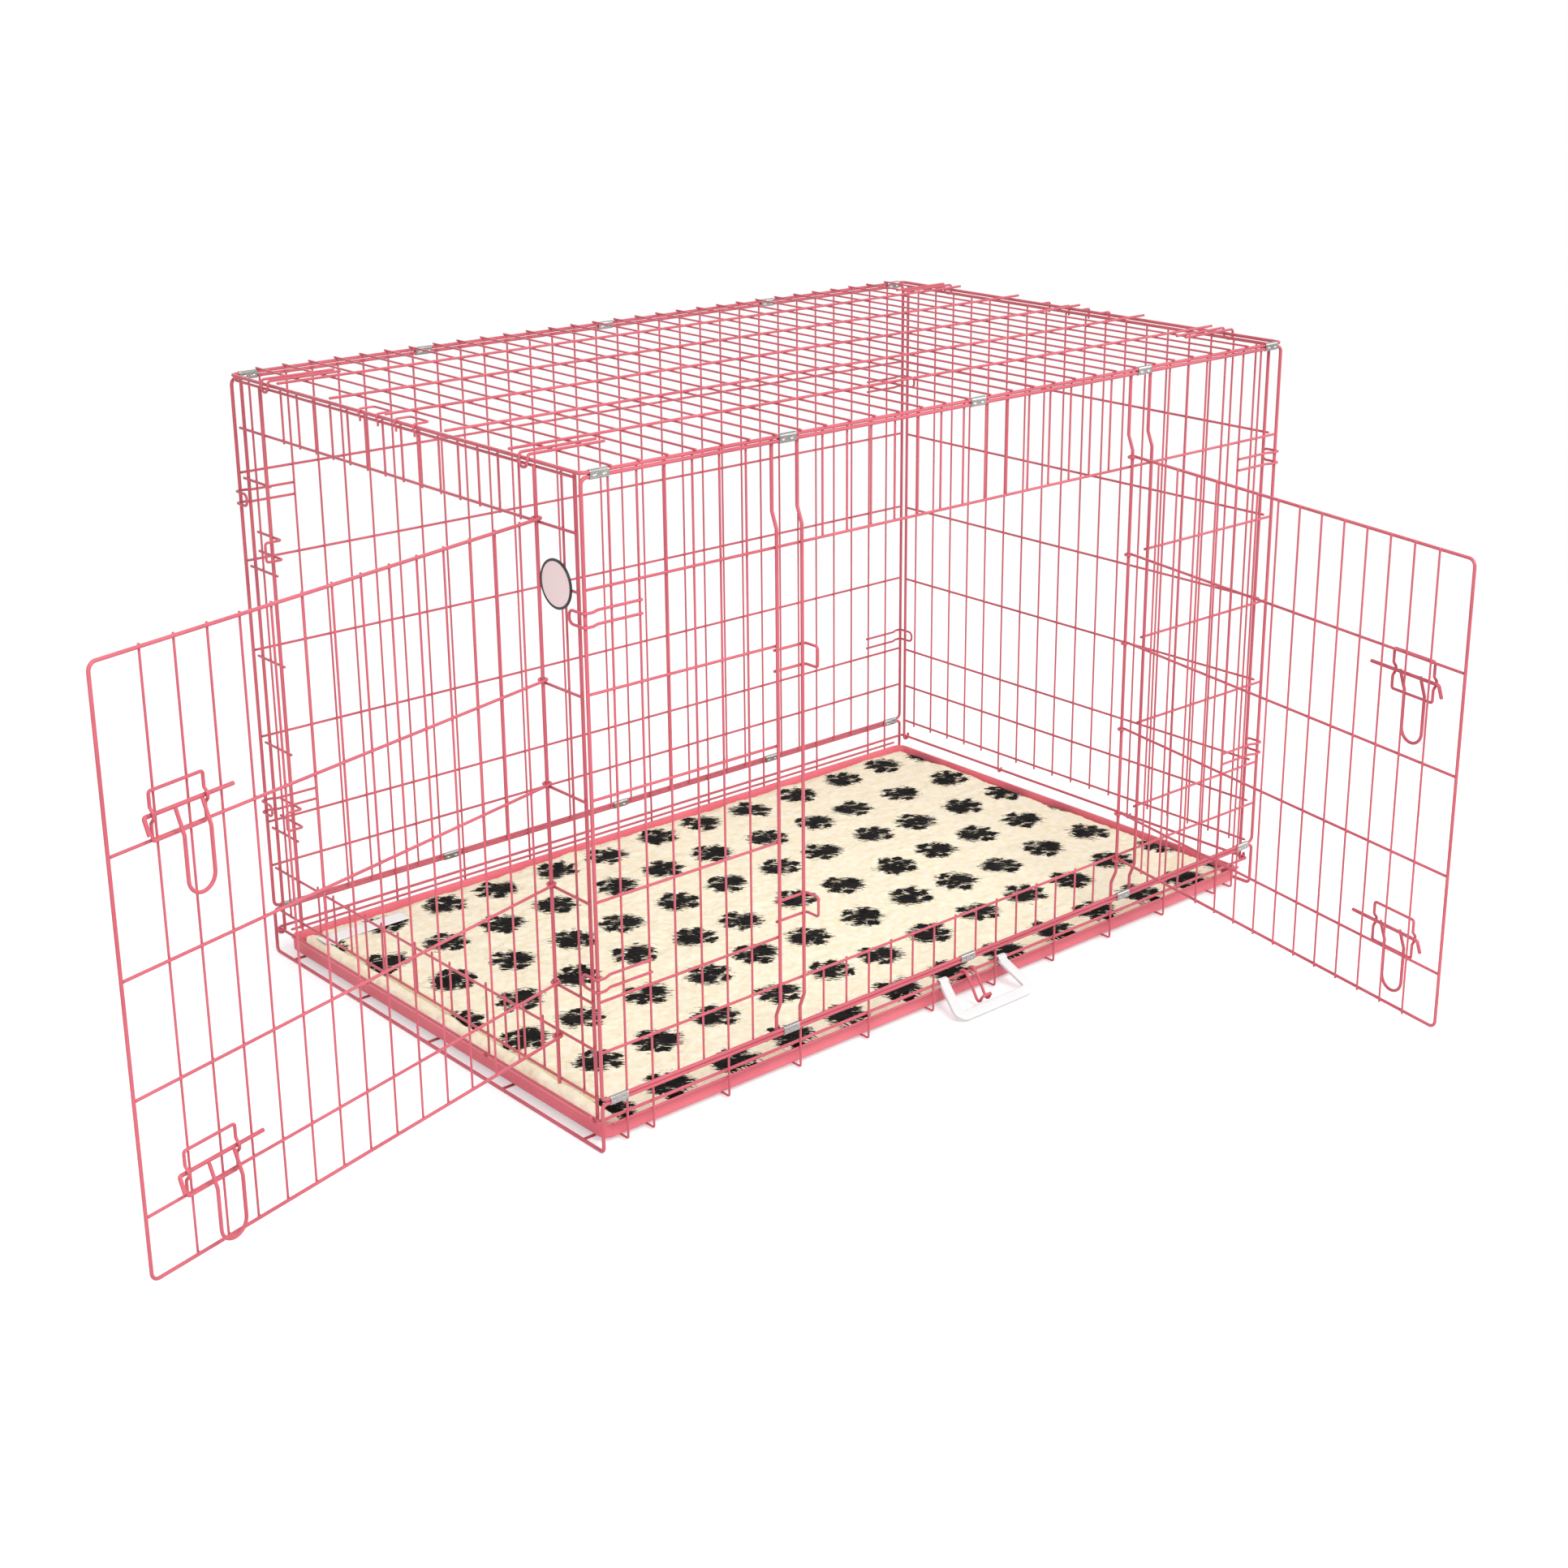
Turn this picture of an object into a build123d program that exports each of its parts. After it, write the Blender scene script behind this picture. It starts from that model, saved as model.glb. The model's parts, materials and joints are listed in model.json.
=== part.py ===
# A folding wire dog crate, erected, with both doors open, a pull-out tray and a fleece mat.
# Millimetres. X runs along the length with the end door at -X, the side door faces -Y, Z is up.
# The origin is on the floor at the middle of the footprint.
import math
import os

from build123d import *

# Crate envelope, at wire centre lines
CRATE_LENGTH = 1208.0
CRATE_WIDTH = 766.0
SIDE_TOP = 815.0
BASE_RAIL_Z = 64.0

# Wire radii
R_FRAME = 2.3
R_JAMB = 2.25
R_EDGE = 2.25
R_RIM = 2.0
R_RAIL = 1.75
R_UPRIGHT = 1.4
R_HOOP = 1.5
R_DOOR_FRAME = 2.0
R_DOOR_UPRIGHT = 1.3
R_BRACKET = 1.75
R_ROD = 2.25
R_HANDLE = 2.0
R_HOOK = 1.75
R_CLIP = 2.0

# Fits
WELD_GAP = 0.03
BUTT_GAP = 0.1
RUN_CLEAR = 0.4
FLOOR_FLAT = 0.25

# Wire pitches and bends
LENGTH_PITCHES = 31
END_UPRIGHTS = 18
END_EDGE_GAP = 23.025
FRAME_BEND = 8.0
BASE_BEND = 6.0
HOOK_BEND = 4.0
DOOR_BEND = 9.0
PANEL_GAP = 0.6
RAIL_STUB = 5.0

# Heights of the rails
SILL_Z = 131.0
LOWER_RAILS_Z = (196.0, 321.0)
UPPER_RAIL_DROPS = (370.0, 245.0)
SIDE_HEADER_DROP = 125.0
END_HEADER_DROP = 63.0
END_BOTTOM_Z = 68.0
END_TOP_DROP = 6.0
STRIP_DROP = 5.0

# Doors
SIDE_DOOR_OVERLAP = 27.48387
SIDE_DOOR_RISE = 14.0
END_DOOR_OVERLAP = 16.75
END_DOOR_RISE = 5.0
DOOR_DROP = 5.0
SIDE_DOOR_FIRST = 51.0
SIDE_DOOR_LAST = 54.0
END_DOOR_FIRST = 61.0
END_DOOR_LAST = 30.1
DOOR_UPRIGHTS = 14
UPRIGHT_NUB = 2.2
SIDE_OPEN = 79.0
END_OPEN = 105.0
SIDE_JAMB_INDEX = 8
JAMB_JOG_RUN = 20.0
JAMB_JOG_DROP = 82.0

# Slide bolts, measured back from a door's free edge
BRACKET_NEAR = 50.0
BRACKET_LENGTH = 66.0
BRACKET_HEIGHT = 50.0
BUMP_HALF = 8.0
BUMP_CREST = 2.5
BUMP_BEND = 3.0
ROD_TIP_BACK = 42.0
ROD_LENGTH = 107.0
ROD_RISE = 26.0
LEG_NEAR = 76.0
LEG_SPACING = 33.0
LEG_SLANT_OUT = 9.0
LEG_SLANT_DROP = 26.0
HANDLE_DROP = 88.0
TIP_LENGTH = 18.0
TIP_STUB = 3.0
TIP_BEND = 2.5
KEEPER_BACK = 35.0
KEEPER_BELOW = 5.0
KEEPER_HEIGHT = 26.0
KEEPER_REACH = 23.0

# Base, tray and mat
RIM_Z = 40.0
LOWER_SIDE_Z = 30.0
RIM_BEND = 5.0
FLOOR_WIRE_INSET = 43.0
FLOOR_WIRES = 5
TRAY_END_CLEAR = 12.0
TRAY_SIDE_CLEAR = 2.69
TRAY_HEIGHT = 20.0
TRAY_WALL = 1.0
TRAY_LIP = 2.5
TRAY_CORNER = 14.0
MAT_THICKNESS = 20.0
MAT_MARGIN = 5.0
MAT_ROUND = 8.0
MAT_CORNER = 34.0
LABEL_LENGTH = 136.0
LABEL_WIDTH = 28.0
LABEL_THICKNESS = 0.5
LABEL_END_GAP = 8.0
LABEL_INSET = 50.0

# End panels
EDGE_INSET = 17.0
TAB_REACH = 22.0
TAB_DROP = 5.0
TAB_BEND = 2.5

# Corner hooks, spring hooks and sleeves
UPPER_HOOK_DROP = 158.0
LOWER_HOOK_Z = 219.0
CORNER_HOOK_GAP = 16.0
CORNER_HOOK_REACH = 24.0
SPRING_HOOK_INSET = 98.0
SPRING_HOOK_GAP = 16.0
SPRING_HOOK_LENGTH = 100.0
SPRING_HOOK_HANG = 15.0
SLEEVE_LENGTH = 26.0
SLEEVE_WALL = 1.0
SLEEVE_END_INSET = 24.0
TOP_LONG_WIRES = 5
TOP_OVERHANG = 4.0

# Carry handle and fold clip on the front rim wire
HANDLE_X = 17.5
HANDLE_ARM_SPACING = 111.0
HANDLE_SPLAY = 12.0
HANDLE_ARM = 15.0
HANDLE_REACH = 64.0
HANDLE_THICK = 6.0
HANDLE_TILT = 35.0
COLLAR_RADIUS = 5.5
CLIP_X = 8.5
CLIP_GAP = 16.0
CLIP_OUT = 30.0
CLIP_DROP = 34.0
CLIP_TIP_OUT = 8.0
CLIP_TIP_RISE = 14.0

# Name plaque, bare
BADGE_EDGE_CLEAR = 3.0
BADGE_JAMB_CLEAR = 2.375
BADGE_HEIGHT = 58.0
BADGE_DROP = 127.0
BADGE_THICK = 2.4
BADGE_BORDER = 3.0
BADGE_RECESS = 0.8

# Derived places
HALF_L = CRATE_LENGTH / 2
HALF_W = CRATE_WIDTH / 2
PITCH = CRATE_LENGTH / LENGTH_PITCHES
PAIR_STEP = 2 * R_FRAME + PANEL_GAP
TOP_Z = SIDE_TOP + PAIR_STEP
CROSS_Z = TOP_Z + R_FRAME + R_UPRIGHT + WELD_GAP
LONG_Z = CROSS_Z + R_UPRIGHT + R_RAIL + WELD_GAP
SIDE_BOTTOM = BASE_RAIL_Z + PAIR_STEP
RAIL_Z = (*LOWER_RAILS_Z, *(SIDE_TOP - drop for drop in UPPER_RAIL_DROPS))
SIDE_HEADER_Z = SIDE_TOP - SIDE_HEADER_DROP
END_HEADER_Z = SIDE_TOP - END_HEADER_DROP
CORNER_HOOK_Z = (SIDE_TOP - UPPER_HOOK_DROP, LOWER_HOOK_Z)
SPRING_HOOK_Y = HALF_W - SPRING_HOOK_INSET
UPRIGHT_U = -(R_FRAME + R_UPRIGHT + WELD_GAP)
RAIL_U = UPRIGHT_U + R_UPRIGHT + R_RAIL + WELD_GAP
JAMB_INNER_U = -(R_FRAME + R_JAMB + WELD_GAP)
JAMB_U = RAIL_U + R_RAIL + R_JAMB + WELD_GAP
END_X = HALF_L - PANEL_GAP
EDGE_Y = HALF_W - EDGE_INSET
END_PITCH = 2 * (EDGE_Y - END_EDGE_GAP) / (END_UPRIGHTS - 1)
END_UPRIGHT_U = -(R_RAIL + R_UPRIGHT + WELD_GAP)
END_EDGE_U = -(R_RAIL + R_EDGE + WELD_GAP)
END_JAMB_U = R_RAIL + R_JAMB + WELD_GAP
END_TOP_Z = TOP_Z - END_TOP_DROP
END_JAMB_Y = (END_UPRIGHTS / 2 - 1.5) * END_PITCH
END_STRIP_Y = (END_UPRIGHTS / 2 - 0.5) * END_PITCH
HOOP_Y = HALF_W - R_FRAME - R_HOOP - WELD_GAP
RIM_Y = HOOP_Y - R_HOOP - R_RIM - WELD_GAP
LOWER_SIDE_Y = HOOP_Y - R_HOOP - R_RAIL - WELD_GAP
HOOP_Z = 2 * R_RAIL - FLOOR_FLAT + R_HOOP + WELD_GAP
TRAY_Z = HOOP_Z + R_HOOP + RUN_CLEAR
TRAY_LENGTH = CRATE_LENGTH - 2 * TRAY_END_CLEAR
TRAY_WIDTH = 2 * (RIM_Y - R_RIM - TRAY_SIDE_CLEAR - TRAY_LIP)
LABEL_Y = TRAY_WIDTH / 2 - LABEL_INSET
BADGE_WIDTH = EDGE_Y - BADGE_EDGE_CLEAR - END_JAMB_Y - BADGE_JAMB_CLEAR
BADGE_Y = -(END_JAMB_Y + BADGE_JAMB_CLEAR + BADGE_WIDTH / 2)
BADGE_Z = SIDE_TOP - BADGE_DROP
RING_FRAME = R_JAMB + RUN_CLEAR + R_DOOR_FRAME
RING_RAIL = R_JAMB + RUN_CLEAR + R_RAIL
DOOR_UPRIGHT_U = RING_RAIL - R_RAIL - R_DOOR_UPRIGHT - WELD_GAP
ROD_U = RING_RAIL + R_RAIL + R_BRACKET + WELD_GAP
BUMP_U = ROD_U + R_ROD + RUN_CLEAR + R_BRACKET
LEG_U = ROD_U + R_ROD + RUN_CLEAR + R_HANDLE
SIDE_HINGE_X = HALF_L - SIDE_JAMB_INDEX * PITCH
SIDE_HINGE_Y = -(HALF_W + JAMB_U)
END_HINGE_X = -(END_X + END_JAMB_U)
END_HINGE_Y = -END_JAMB_Y
SIDE_DOOR_WIDTH = 2 * SIDE_HINGE_X + SIDE_DOOR_OVERLAP
END_DOOR_WIDTH = 2 * END_JAMB_Y + END_DOOR_OVERLAP
SIDE_DOOR_TOP = SIDE_HEADER_Z + SIDE_DOOR_RISE
END_DOOR_TOP = END_HEADER_Z + END_DOOR_RISE
DOOR_BOTTOM = SILL_Z - DOOR_DROP

# Slide bolts: name, height of the bracket's bar on its rail, and which way the bracket stands from it
SIDE_BOLTS = (("upper", RAIL_Z[3], -1), ("lower", RAIL_Z[0], 1))
END_BOLTS = (("upper", RAIL_Z[3], 1), ("lower", RAIL_Z[0], 1))


def rod(start, end, radius):
    """A straight round wire from start to end."""
    a, b = Vector(*start), Vector(*end)
    return Solid.make_cylinder(radius, (b - a).length, Plane(a, z_dir=b - a))


def bent(points, radius, bends):
    """A round wire through points, with one bend radius for each corner or one for all."""
    path = FilletPolyline(*points, radius=bends)
    edges = path.edges()
    start = edges[0]
    section = Plane(start @ 0, z_dir=start % 0) * Circle(radius)
    return sweep(section, path=path).solids()[0]


def loop(corners, radius, bend):
    """A closed wire loop, butt welded in the middle of its first side."""
    first, second = Vector(*corners[0]), Vector(*corners[1])
    along = (second - first).normalized()
    middle = (first + second) / 2
    start = middle + along * (BUTT_GAP / 2)
    stop = middle - along * (BUTT_GAP / 2)
    inner = [Vector(*c) for c in corners[1:]] + [first]
    return bent([start, *inner, stop], radius, bend)


def save(name, solids):
    """One named sub-part, as one solid or as a group of separate ones."""
    solids = list(solids)
    shape = solids[0] if len(solids) == 1 else Compound(children=solids)
    shape.label = name
    export_step(shape, f"parts/{name}.step")


def level_corners(half_x, half_y, z):
    """Four corners of a level rectangle, starting with its front side."""
    return [(-half_x, -half_y, z), (half_x, -half_y, z), (half_x, half_y, z), (-half_x, half_y, z)]


def length_x(index):
    """Where an upright or cross wire stands along the crate."""
    return -HALF_L + index * PITCH


def end_y(index):
    """Where an upright of an end panel stands across the crate."""
    return (index - (END_UPRIGHTS - 1) / 2) * END_PITCH


def on_floor(solids):
    """Wires that rest on the floor, with the narrow flat worn along their undersides."""
    below = Pos(0, 0, -R_FRAME) * Box(
        CRATE_LENGTH * 2, CRATE_WIDTH * 2, 2 * R_FRAME, align=Align.CENTER
    )
    return [part.solids()[0] for part in (s - below for s in solids)]


# Base

def base_frame():
    """One wire: a rail along each side, bent down at the corners and across the floor at each end."""
    floor_z = R_FRAME - FLOOR_FLAT
    halves = []
    for side in (-1, 1):
        y = side * HALF_W
        points = [
            (-HALF_L, side * BUTT_GAP / 2, floor_z),
            (-HALF_L, y, floor_z),
            (-HALF_L, y, BASE_RAIL_Z),
            (HALF_L, y, BASE_RAIL_Z),
            (HALF_L, y, floor_z),
            (HALF_L, side * BUTT_GAP / 2, floor_z),
        ]
        halves.append(bent(points, R_FRAME, BASE_BEND))
    return on_floor(halves)


def base_rim():
    """The ring at mid height, whose end spans carry the end panels' hooks."""
    return [loop(level_corners(HALF_L, RIM_Y, RIM_Z), R_RIM, RIM_BEND)]


def base_side_wires():
    """A straight wire below the rim on each long side."""
    reach = HALF_L - PITCH / 2
    return [
        rod((-reach, side * LOWER_SIDE_Y, LOWER_SIDE_Z), (reach, side * LOWER_SIDE_Y, LOWER_SIDE_Z), R_RAIL)
        for side in (-1, 1)
    ]


def hoop_places():
    """Wire positions of the hoops: one and two pitches from each end, and every third between."""
    last = LENGTH_PITCHES - 1
    return sorted({1, last, *range(2, last, 3)})


def floor_hoops():
    """U-shaped hoops from rail to rail, under the tray."""
    top = BASE_RAIL_Z + R_FRAME
    hoops = []
    for index in hoop_places():
        x = length_x(index)
        points = [(x, -HOOP_Y, top), (x, -HOOP_Y, HOOP_Z), (x, HOOP_Y, HOOP_Z), (x, HOOP_Y, top)]
        hoops.append(bent(points, R_HOOP, BASE_BEND / 2))
    return hoops


def floor_wires():
    """Long wires under the hoops, which stand on the floor."""
    reach = length_x(LENGTH_PITCHES - 1) + RAIL_STUB
    z = R_RAIL - FLOOR_FLAT
    outermost = HALF_W - FLOOR_WIRE_INSET
    step = 2 * outermost / (FLOOR_WIRES - 1)
    wires = []
    for index in range(FLOOR_WIRES):
        y = index * step - outermost
        wires.append(rod((-reach, y, z), (reach, y, z), R_RAIL))
    return on_floor(wires)


# Side panels

def side_point(side, x, u, z):
    """A point of a side panel: u is outward of its frame's plane."""
    return (x, side * (HALF_W + u), z)


def side_frame(side):
    """The closed frame of a side panel."""
    corners = [
        side_point(side, -HALF_L, 0, SIDE_BOTTOM),
        side_point(side, HALF_L, 0, SIDE_BOTTOM),
        side_point(side, HALF_L, 0, SIDE_TOP),
        side_point(side, -HALF_L, 0, SIDE_TOP),
    ]
    return [loop(corners, R_FRAME, FRAME_BEND)]


def side_uprights(side, jambs):
    """Uprights on the inner face of the frame, broken at the doorway if the panel has jambs."""
    low, high = SIDE_BOTTOM - R_FRAME, SIDE_TOP + R_FRAME
    wires = []
    for index in range(1, LENGTH_PITCHES):
        x = length_x(index)
        spans = [(low, high)]
        if jambs and index in jambs:
            continue
        if jambs and jambs[1] < index < jambs[2]:
            spans = [(low, SILL_Z + R_RAIL), (SIDE_HEADER_Z - R_RAIL, high)]
        for bottom, top in spans:
            start = side_point(side, x, UPRIGHT_U, bottom)
            wires.append(rod(start, side_point(side, x, UPRIGHT_U, top), R_UPRIGHT))
    return wires


def side_rails(side, jambs):
    """Rails on the outer face of the uprights, cut short at the doorway if the panel has jambs."""
    reach = HALF_L - R_FRAME - WELD_GAP
    wires = []
    for z in (SILL_Z, *RAIL_Z, SIDE_HEADER_Z):
        spans = [(-reach, reach)]
        if jambs and SILL_Z < z < SIDE_HEADER_Z:
            spans = [
                (-reach, length_x(jambs[0]) + R_JAMB),
                (length_x(jambs[3]) - R_JAMB, reach),
            ]
        for start, stop in spans:
            a = side_point(side, start, RAIL_U, z)
            wires.append(rod(a, side_point(side, stop, RAIL_U, z), R_RAIL))
    return wires


def side_jambs(side, jambs):
    """Thick uprights beside the doorway, jogged outward to clear the header and the sill."""
    jog_top = SIDE_TOP - JAMB_JOG_DROP
    jog_low = SIDE_BOTTOM + JAMB_JOG_RUN
    wires = []
    for index in jambs:
        x = length_x(index)
        profile = [
            (JAMB_INNER_U, SIDE_BOTTOM - R_FRAME),
            (JAMB_INNER_U, jog_low),
            (JAMB_U, jog_low + JAMB_JOG_RUN),
            (JAMB_U, jog_top - JAMB_JOG_RUN),
            (JAMB_INNER_U, jog_top),
            (JAMB_INNER_U, SIDE_TOP + R_FRAME),
        ]
        wires.append(bent([side_point(side, x, u, z) for u, z in profile], R_JAMB, FRAME_BEND))
    return wires


def corner_hooks(side):
    """Hairpins from the second upright, round the corner and across the outside of an end panel's edge."""
    outside = R_FRAME + R_HOOK + WELD_GAP
    hooks = []
    for end in (-1, 1):
        for middle in CORNER_HOOK_Z:
            half = []
            for x, u in (
                (HALF_L - 2 * PITCH - R_UPRIGHT, RAIL_U),
                (HALF_L - 0.45 * PITCH, RAIL_U),
                (HALF_L - 0.20 * PITCH, outside),
                (HALF_L + outside, outside),
                (HALF_L + outside, -CORNER_HOOK_REACH),
            ):
                half.append((end * x, u))
            low = [side_point(side, x, u, middle - CORNER_HOOK_GAP / 2) for x, u in half]
            high = [side_point(side, x, u, middle + CORNER_HOOK_GAP / 2) for x, u in reversed(half)]
            round_end = CORNER_HOOK_GAP / 2 - 1
            bends = [HOOK_BEND, HOOK_BEND, HOOK_BEND, round_end, round_end, HOOK_BEND, HOOK_BEND, HOOK_BEND]
            hooks.append(bent(low + high, R_HOOK, bends))
    return hooks


# Top panel

def top_frame():
    """The closed frame of the top panel."""
    return [loop(level_corners(HALF_L, HALF_W, TOP_Z), R_FRAME, FRAME_BEND)]


def top_cross_wires():
    """Cross wires on top of the frame, over every upright of the side panels."""
    reach = HALF_W + TOP_OVERHANG
    return [
        rod((length_x(i), -reach, CROSS_Z), (length_x(i), reach, CROSS_Z), R_UPRIGHT)
        for i in range(1, LENGTH_PITCHES)
    ]


def top_long_wires():
    """Long wires on top of the cross wires."""
    reach = HALF_L + TOP_OVERHANG
    step = CRATE_WIDTH / (TOP_LONG_WIRES + 1)
    wires = []
    for index in range(TOP_LONG_WIRES):
        y = (index - (TOP_LONG_WIRES - 1) / 2) * step
        wires.append(rod((-reach, y, LONG_Z), (reach, y, LONG_Z), R_RAIL))
    return wires


def spring_hooks():
    """Hairpins lying on the cross wires, arched over the end wire to hang outside the end panel."""
    outside = HALF_L + R_FRAME + R_HOOK + RUN_CLEAR
    hooks = []
    for end in (-1, 1):
        for side in (-1, 1):
            half = [
                (HALF_L - SPRING_HOOK_LENGTH, LONG_Z),
                (outside, LONG_Z),
                (outside + R_HOOK, LONG_Z - SPRING_HOOK_HANG),
            ]
            near = SPRING_HOOK_Y - SPRING_HOOK_GAP / 2
            far = SPRING_HOOK_Y + SPRING_HOOK_GAP / 2
            points = [(end * x, side * near, z) for x, z in half]
            points += [(end * x, side * far, z) for x, z in reversed(half)]
            round_end = SPRING_HOOK_GAP / 2 - 1
            hooks.append(bent(points, R_HOOK, [HOOK_BEND, round_end, round_end, HOOK_BEND]))
    return hooks


# End panels

def end_point(end, u, y, z):
    """A point of an end panel: u is outward of its rails."""
    return (end * (END_X + u), y, z)


def end_edges(end):
    """Edge uprights, with a hook at the foot round the base's rim wire."""
    wires = []
    inner = R_RIM + RUN_CLEAR + R_EDGE
    rim_u = HALF_L - END_X
    leg_u = rim_u - inner
    for side in (-1, 1):
        profile = [
            (leg_u, END_TOP_Z + R_EDGE),
            (leg_u, RIM_Z - inner),
            (rim_u + inner, RIM_Z - inner),
            (rim_u + inner, RIM_Z + 2 * R_EDGE),
        ]
        points = [end_point(end, u, side * EDGE_Y, z) for u, z in profile]
        wires.append(bent(points, R_EDGE, inner - 2 * WELD_GAP))
    return wires


def end_uprights(end, doorway):
    """Uprights on the inner face of the rails, broken at the doorway where there is one."""
    low, high = END_BOTTOM_Z - RAIL_STUB, END_TOP_Z + R_EDGE
    wires = []
    for index in range(END_UPRIGHTS):
        y = end_y(index)
        spans = [(low, high)]
        if doorway and math.isclose(abs(y), END_JAMB_Y):
            continue
        if doorway and abs(y) < END_JAMB_Y:
            spans = [(low, SILL_Z + RAIL_STUB), (END_HEADER_Z - RAIL_STUB, high)]
        for bottom, top in spans:
            a = end_point(end, END_UPRIGHT_U, y, bottom)
            wires.append(rod(a, end_point(end, END_UPRIGHT_U, y, top), R_UPRIGHT))
    return wires


def end_rails(end, doorway):
    """Rails on the outer face, cut short at the doorway, where they pass under the door's rings."""
    reach = EDGE_Y + RAIL_STUB
    levels = [END_BOTTOM_Z, SILL_Z, *RAIL_Z, SIDE_HEADER_Z, END_TOP_Z]
    if doorway:
        levels.append(END_HEADER_Z)
    wires = []
    for z in levels:
        spans = [(-reach, reach)]
        if doorway and SILL_Z < z < END_HEADER_Z:
            z -= STRIP_DROP
            spans = [(-reach, R_JAMB - END_JAMB_Y), (END_JAMB_Y - R_JAMB, reach)]
        for start, stop in spans:
            wires.append(rod(end_point(end, 0, start, z), end_point(end, 0, stop, z), R_RAIL))
    return wires


def end_jambs(end):
    """Thick uprights beside the end doorway, on the outer face of the rails."""
    low, high = END_BOTTOM_Z - RAIL_STUB, END_TOP_Z + R_EDGE
    wires = []
    for side in (-1, 1):
        y = side * END_JAMB_Y
        wires.append(rod(end_point(end, END_JAMB_U, y, low), end_point(end, END_JAMB_U, y, high), R_JAMB))
    return wires


def top_tabs(end):
    """Two hairpins from the end panel's top rail, over the top panel's end wire."""
    leg_u = max(R_RAIL + R_UPRIGHT + WELD_GAP, HALF_L - END_X + R_FRAME + R_UPRIGHT + RUN_CLEAR)
    foot_u = R_RAIL + R_UPRIGHT + WELD_GAP
    crest = TOP_Z + R_FRAME + R_UPRIGHT + RUN_CLEAR
    tabs = []
    for middle in (-1, 1):
        half = [
            (foot_u, END_TOP_Z - TAB_DROP),
            (foot_u, END_TOP_Z + R_RAIL),
            (leg_u, END_TOP_Z + R_RAIL + 2 * R_UPRIGHT),
            (leg_u, crest),
            (leg_u - TAB_REACH, crest),
        ]
        near, far = middle * END_PITCH / 2, middle * END_PITCH * 1.5
        points = [end_point(end, u, near, z) for u, z in half]
        points += [end_point(end, u, far, z) for u, z in reversed(half)]
        bends = [TAB_BEND, TAB_BEND, HOOK_BEND, HOOK_BEND]
        tabs.append(bent(points, R_UPRIGHT, bends + bends[::-1]))
    return tabs


# Keepers

def keeper(origin, along, outward, start, eye, leg_u, rod_z):
    """A U wire behind the jambs, bent outward as an eye for the bolt."""
    half = [(start, leg_u), (eye, leg_u), (eye, leg_u + KEEPER_REACH)]
    base, a, o = Vector(*origin), Vector(*along), Vector(*outward)
    low = rod_z - KEEPER_BELOW
    points = [base + a * s + o * u + Vector(0, 0, low) for s, u in half]
    points += [base + a * s + o * u + Vector(0, 0, low + KEEPER_HEIGHT) for s, u in reversed(half)]
    return bent(points, R_RAIL, HOOK_BEND)


def rod_height(bar_z, stands):
    """The bolt's height: nearly midway between the bracket's bars."""
    return bar_z + ROD_RISE if stands > 0 else bar_z - ROD_RISE


def front_keepers():
    """Keepers across the two jambs on the free side of the side doorway."""
    eye = SIDE_DOOR_WIDTH - KEEPER_BACK
    start = SIDE_HINGE_X - length_x(SIDE_JAMB_INDEX - 1) + R_JAMB
    leg_u = JAMB_U - R_JAMB - R_RAIL - WELD_GAP
    origin = (SIDE_HINGE_X, -HALF_W, 0)
    return [
        keeper(origin, (-1, 0, 0), (0, -1, 0), start, eye, leg_u, rod_height(bar, stands))
        for _, bar, stands in SIDE_BOLTS
    ]


def end_keepers():
    """Keepers across the far jamb of the end doorway and the upright beside it."""
    eye = END_DOOR_WIDTH - KEEPER_BACK
    start = END_STRIP_Y - END_HINGE_Y + R_UPRIGHT
    leg_u = END_JAMB_U - R_JAMB - R_RAIL - WELD_GAP
    origin = (-END_X, END_HINGE_Y, 0)
    return [
        keeper(origin, (0, 1, 0), (-1, 0, 0), start, eye, leg_u, rod_height(bar, stands))
        for _, bar, stands in END_BOLTS
    ]


# Doors, modelled shut from the hinge axis: x along the door, y outward, z up

def ringed(z, length, ring, radius):
    """A rail whose hinge end is curled as a ring round the jamb."""
    curl = CenterArc((0, 0, z), ring, 90, 270)
    line = Line((0, ring, z), (length, ring, z))
    section = Plane((length, ring, z), z_dir=(-1, 0, 0)) * Circle(radius)
    return sweep(section, path=Wire([line, curl])).solids()[0]


def door_frame(width, top):
    """One wire: top and bottom curled round the jamb, and the free edge between them."""
    ring = RING_FRAME
    pieces = [
        bent(
            [(0, ring, top), (width, ring, top), (width, ring, DOOR_BOTTOM), (0, ring, DOOR_BOTTOM)],
            R_DOOR_FRAME,
            DOOR_BEND,
        )
    ]
    for z in (top, DOOR_BOTTOM):
        curl = CenterArc((0, 0, z), ring, 90, 270)
        section = Plane((0, ring, z), z_dir=(-1, 0, 0)) * Circle(R_DOOR_FRAME)
        pieces.append(sweep(section, path=curl).solids()[0])
    return [pieces[0].fuse(*pieces[1:]).solids()[0]]


def door_rails(width):
    """The rails between, each from its ring to the free edge."""
    return [ringed(z, width - R_DOOR_FRAME - WELD_GAP, RING_RAIL, R_RAIL) for z in RAIL_Z]


def door_uprights(width, top, first, last):
    """Uprights on the inner face, with nubs past the top and bottom wires."""
    pitch = (width - first - last) / (DOOR_UPRIGHTS - 1)
    wires = []
    for index in range(DOOR_UPRIGHTS):
        s = width - first - index * pitch
        low, high = DOOR_BOTTOM - UPRIGHT_NUB, top + UPRIGHT_NUB
        wires.append(rod((s, DOOR_UPRIGHT_U, low), (s, DOOR_UPRIGHT_U, high), R_DOOR_UPRIGHT))
    return wires


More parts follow.
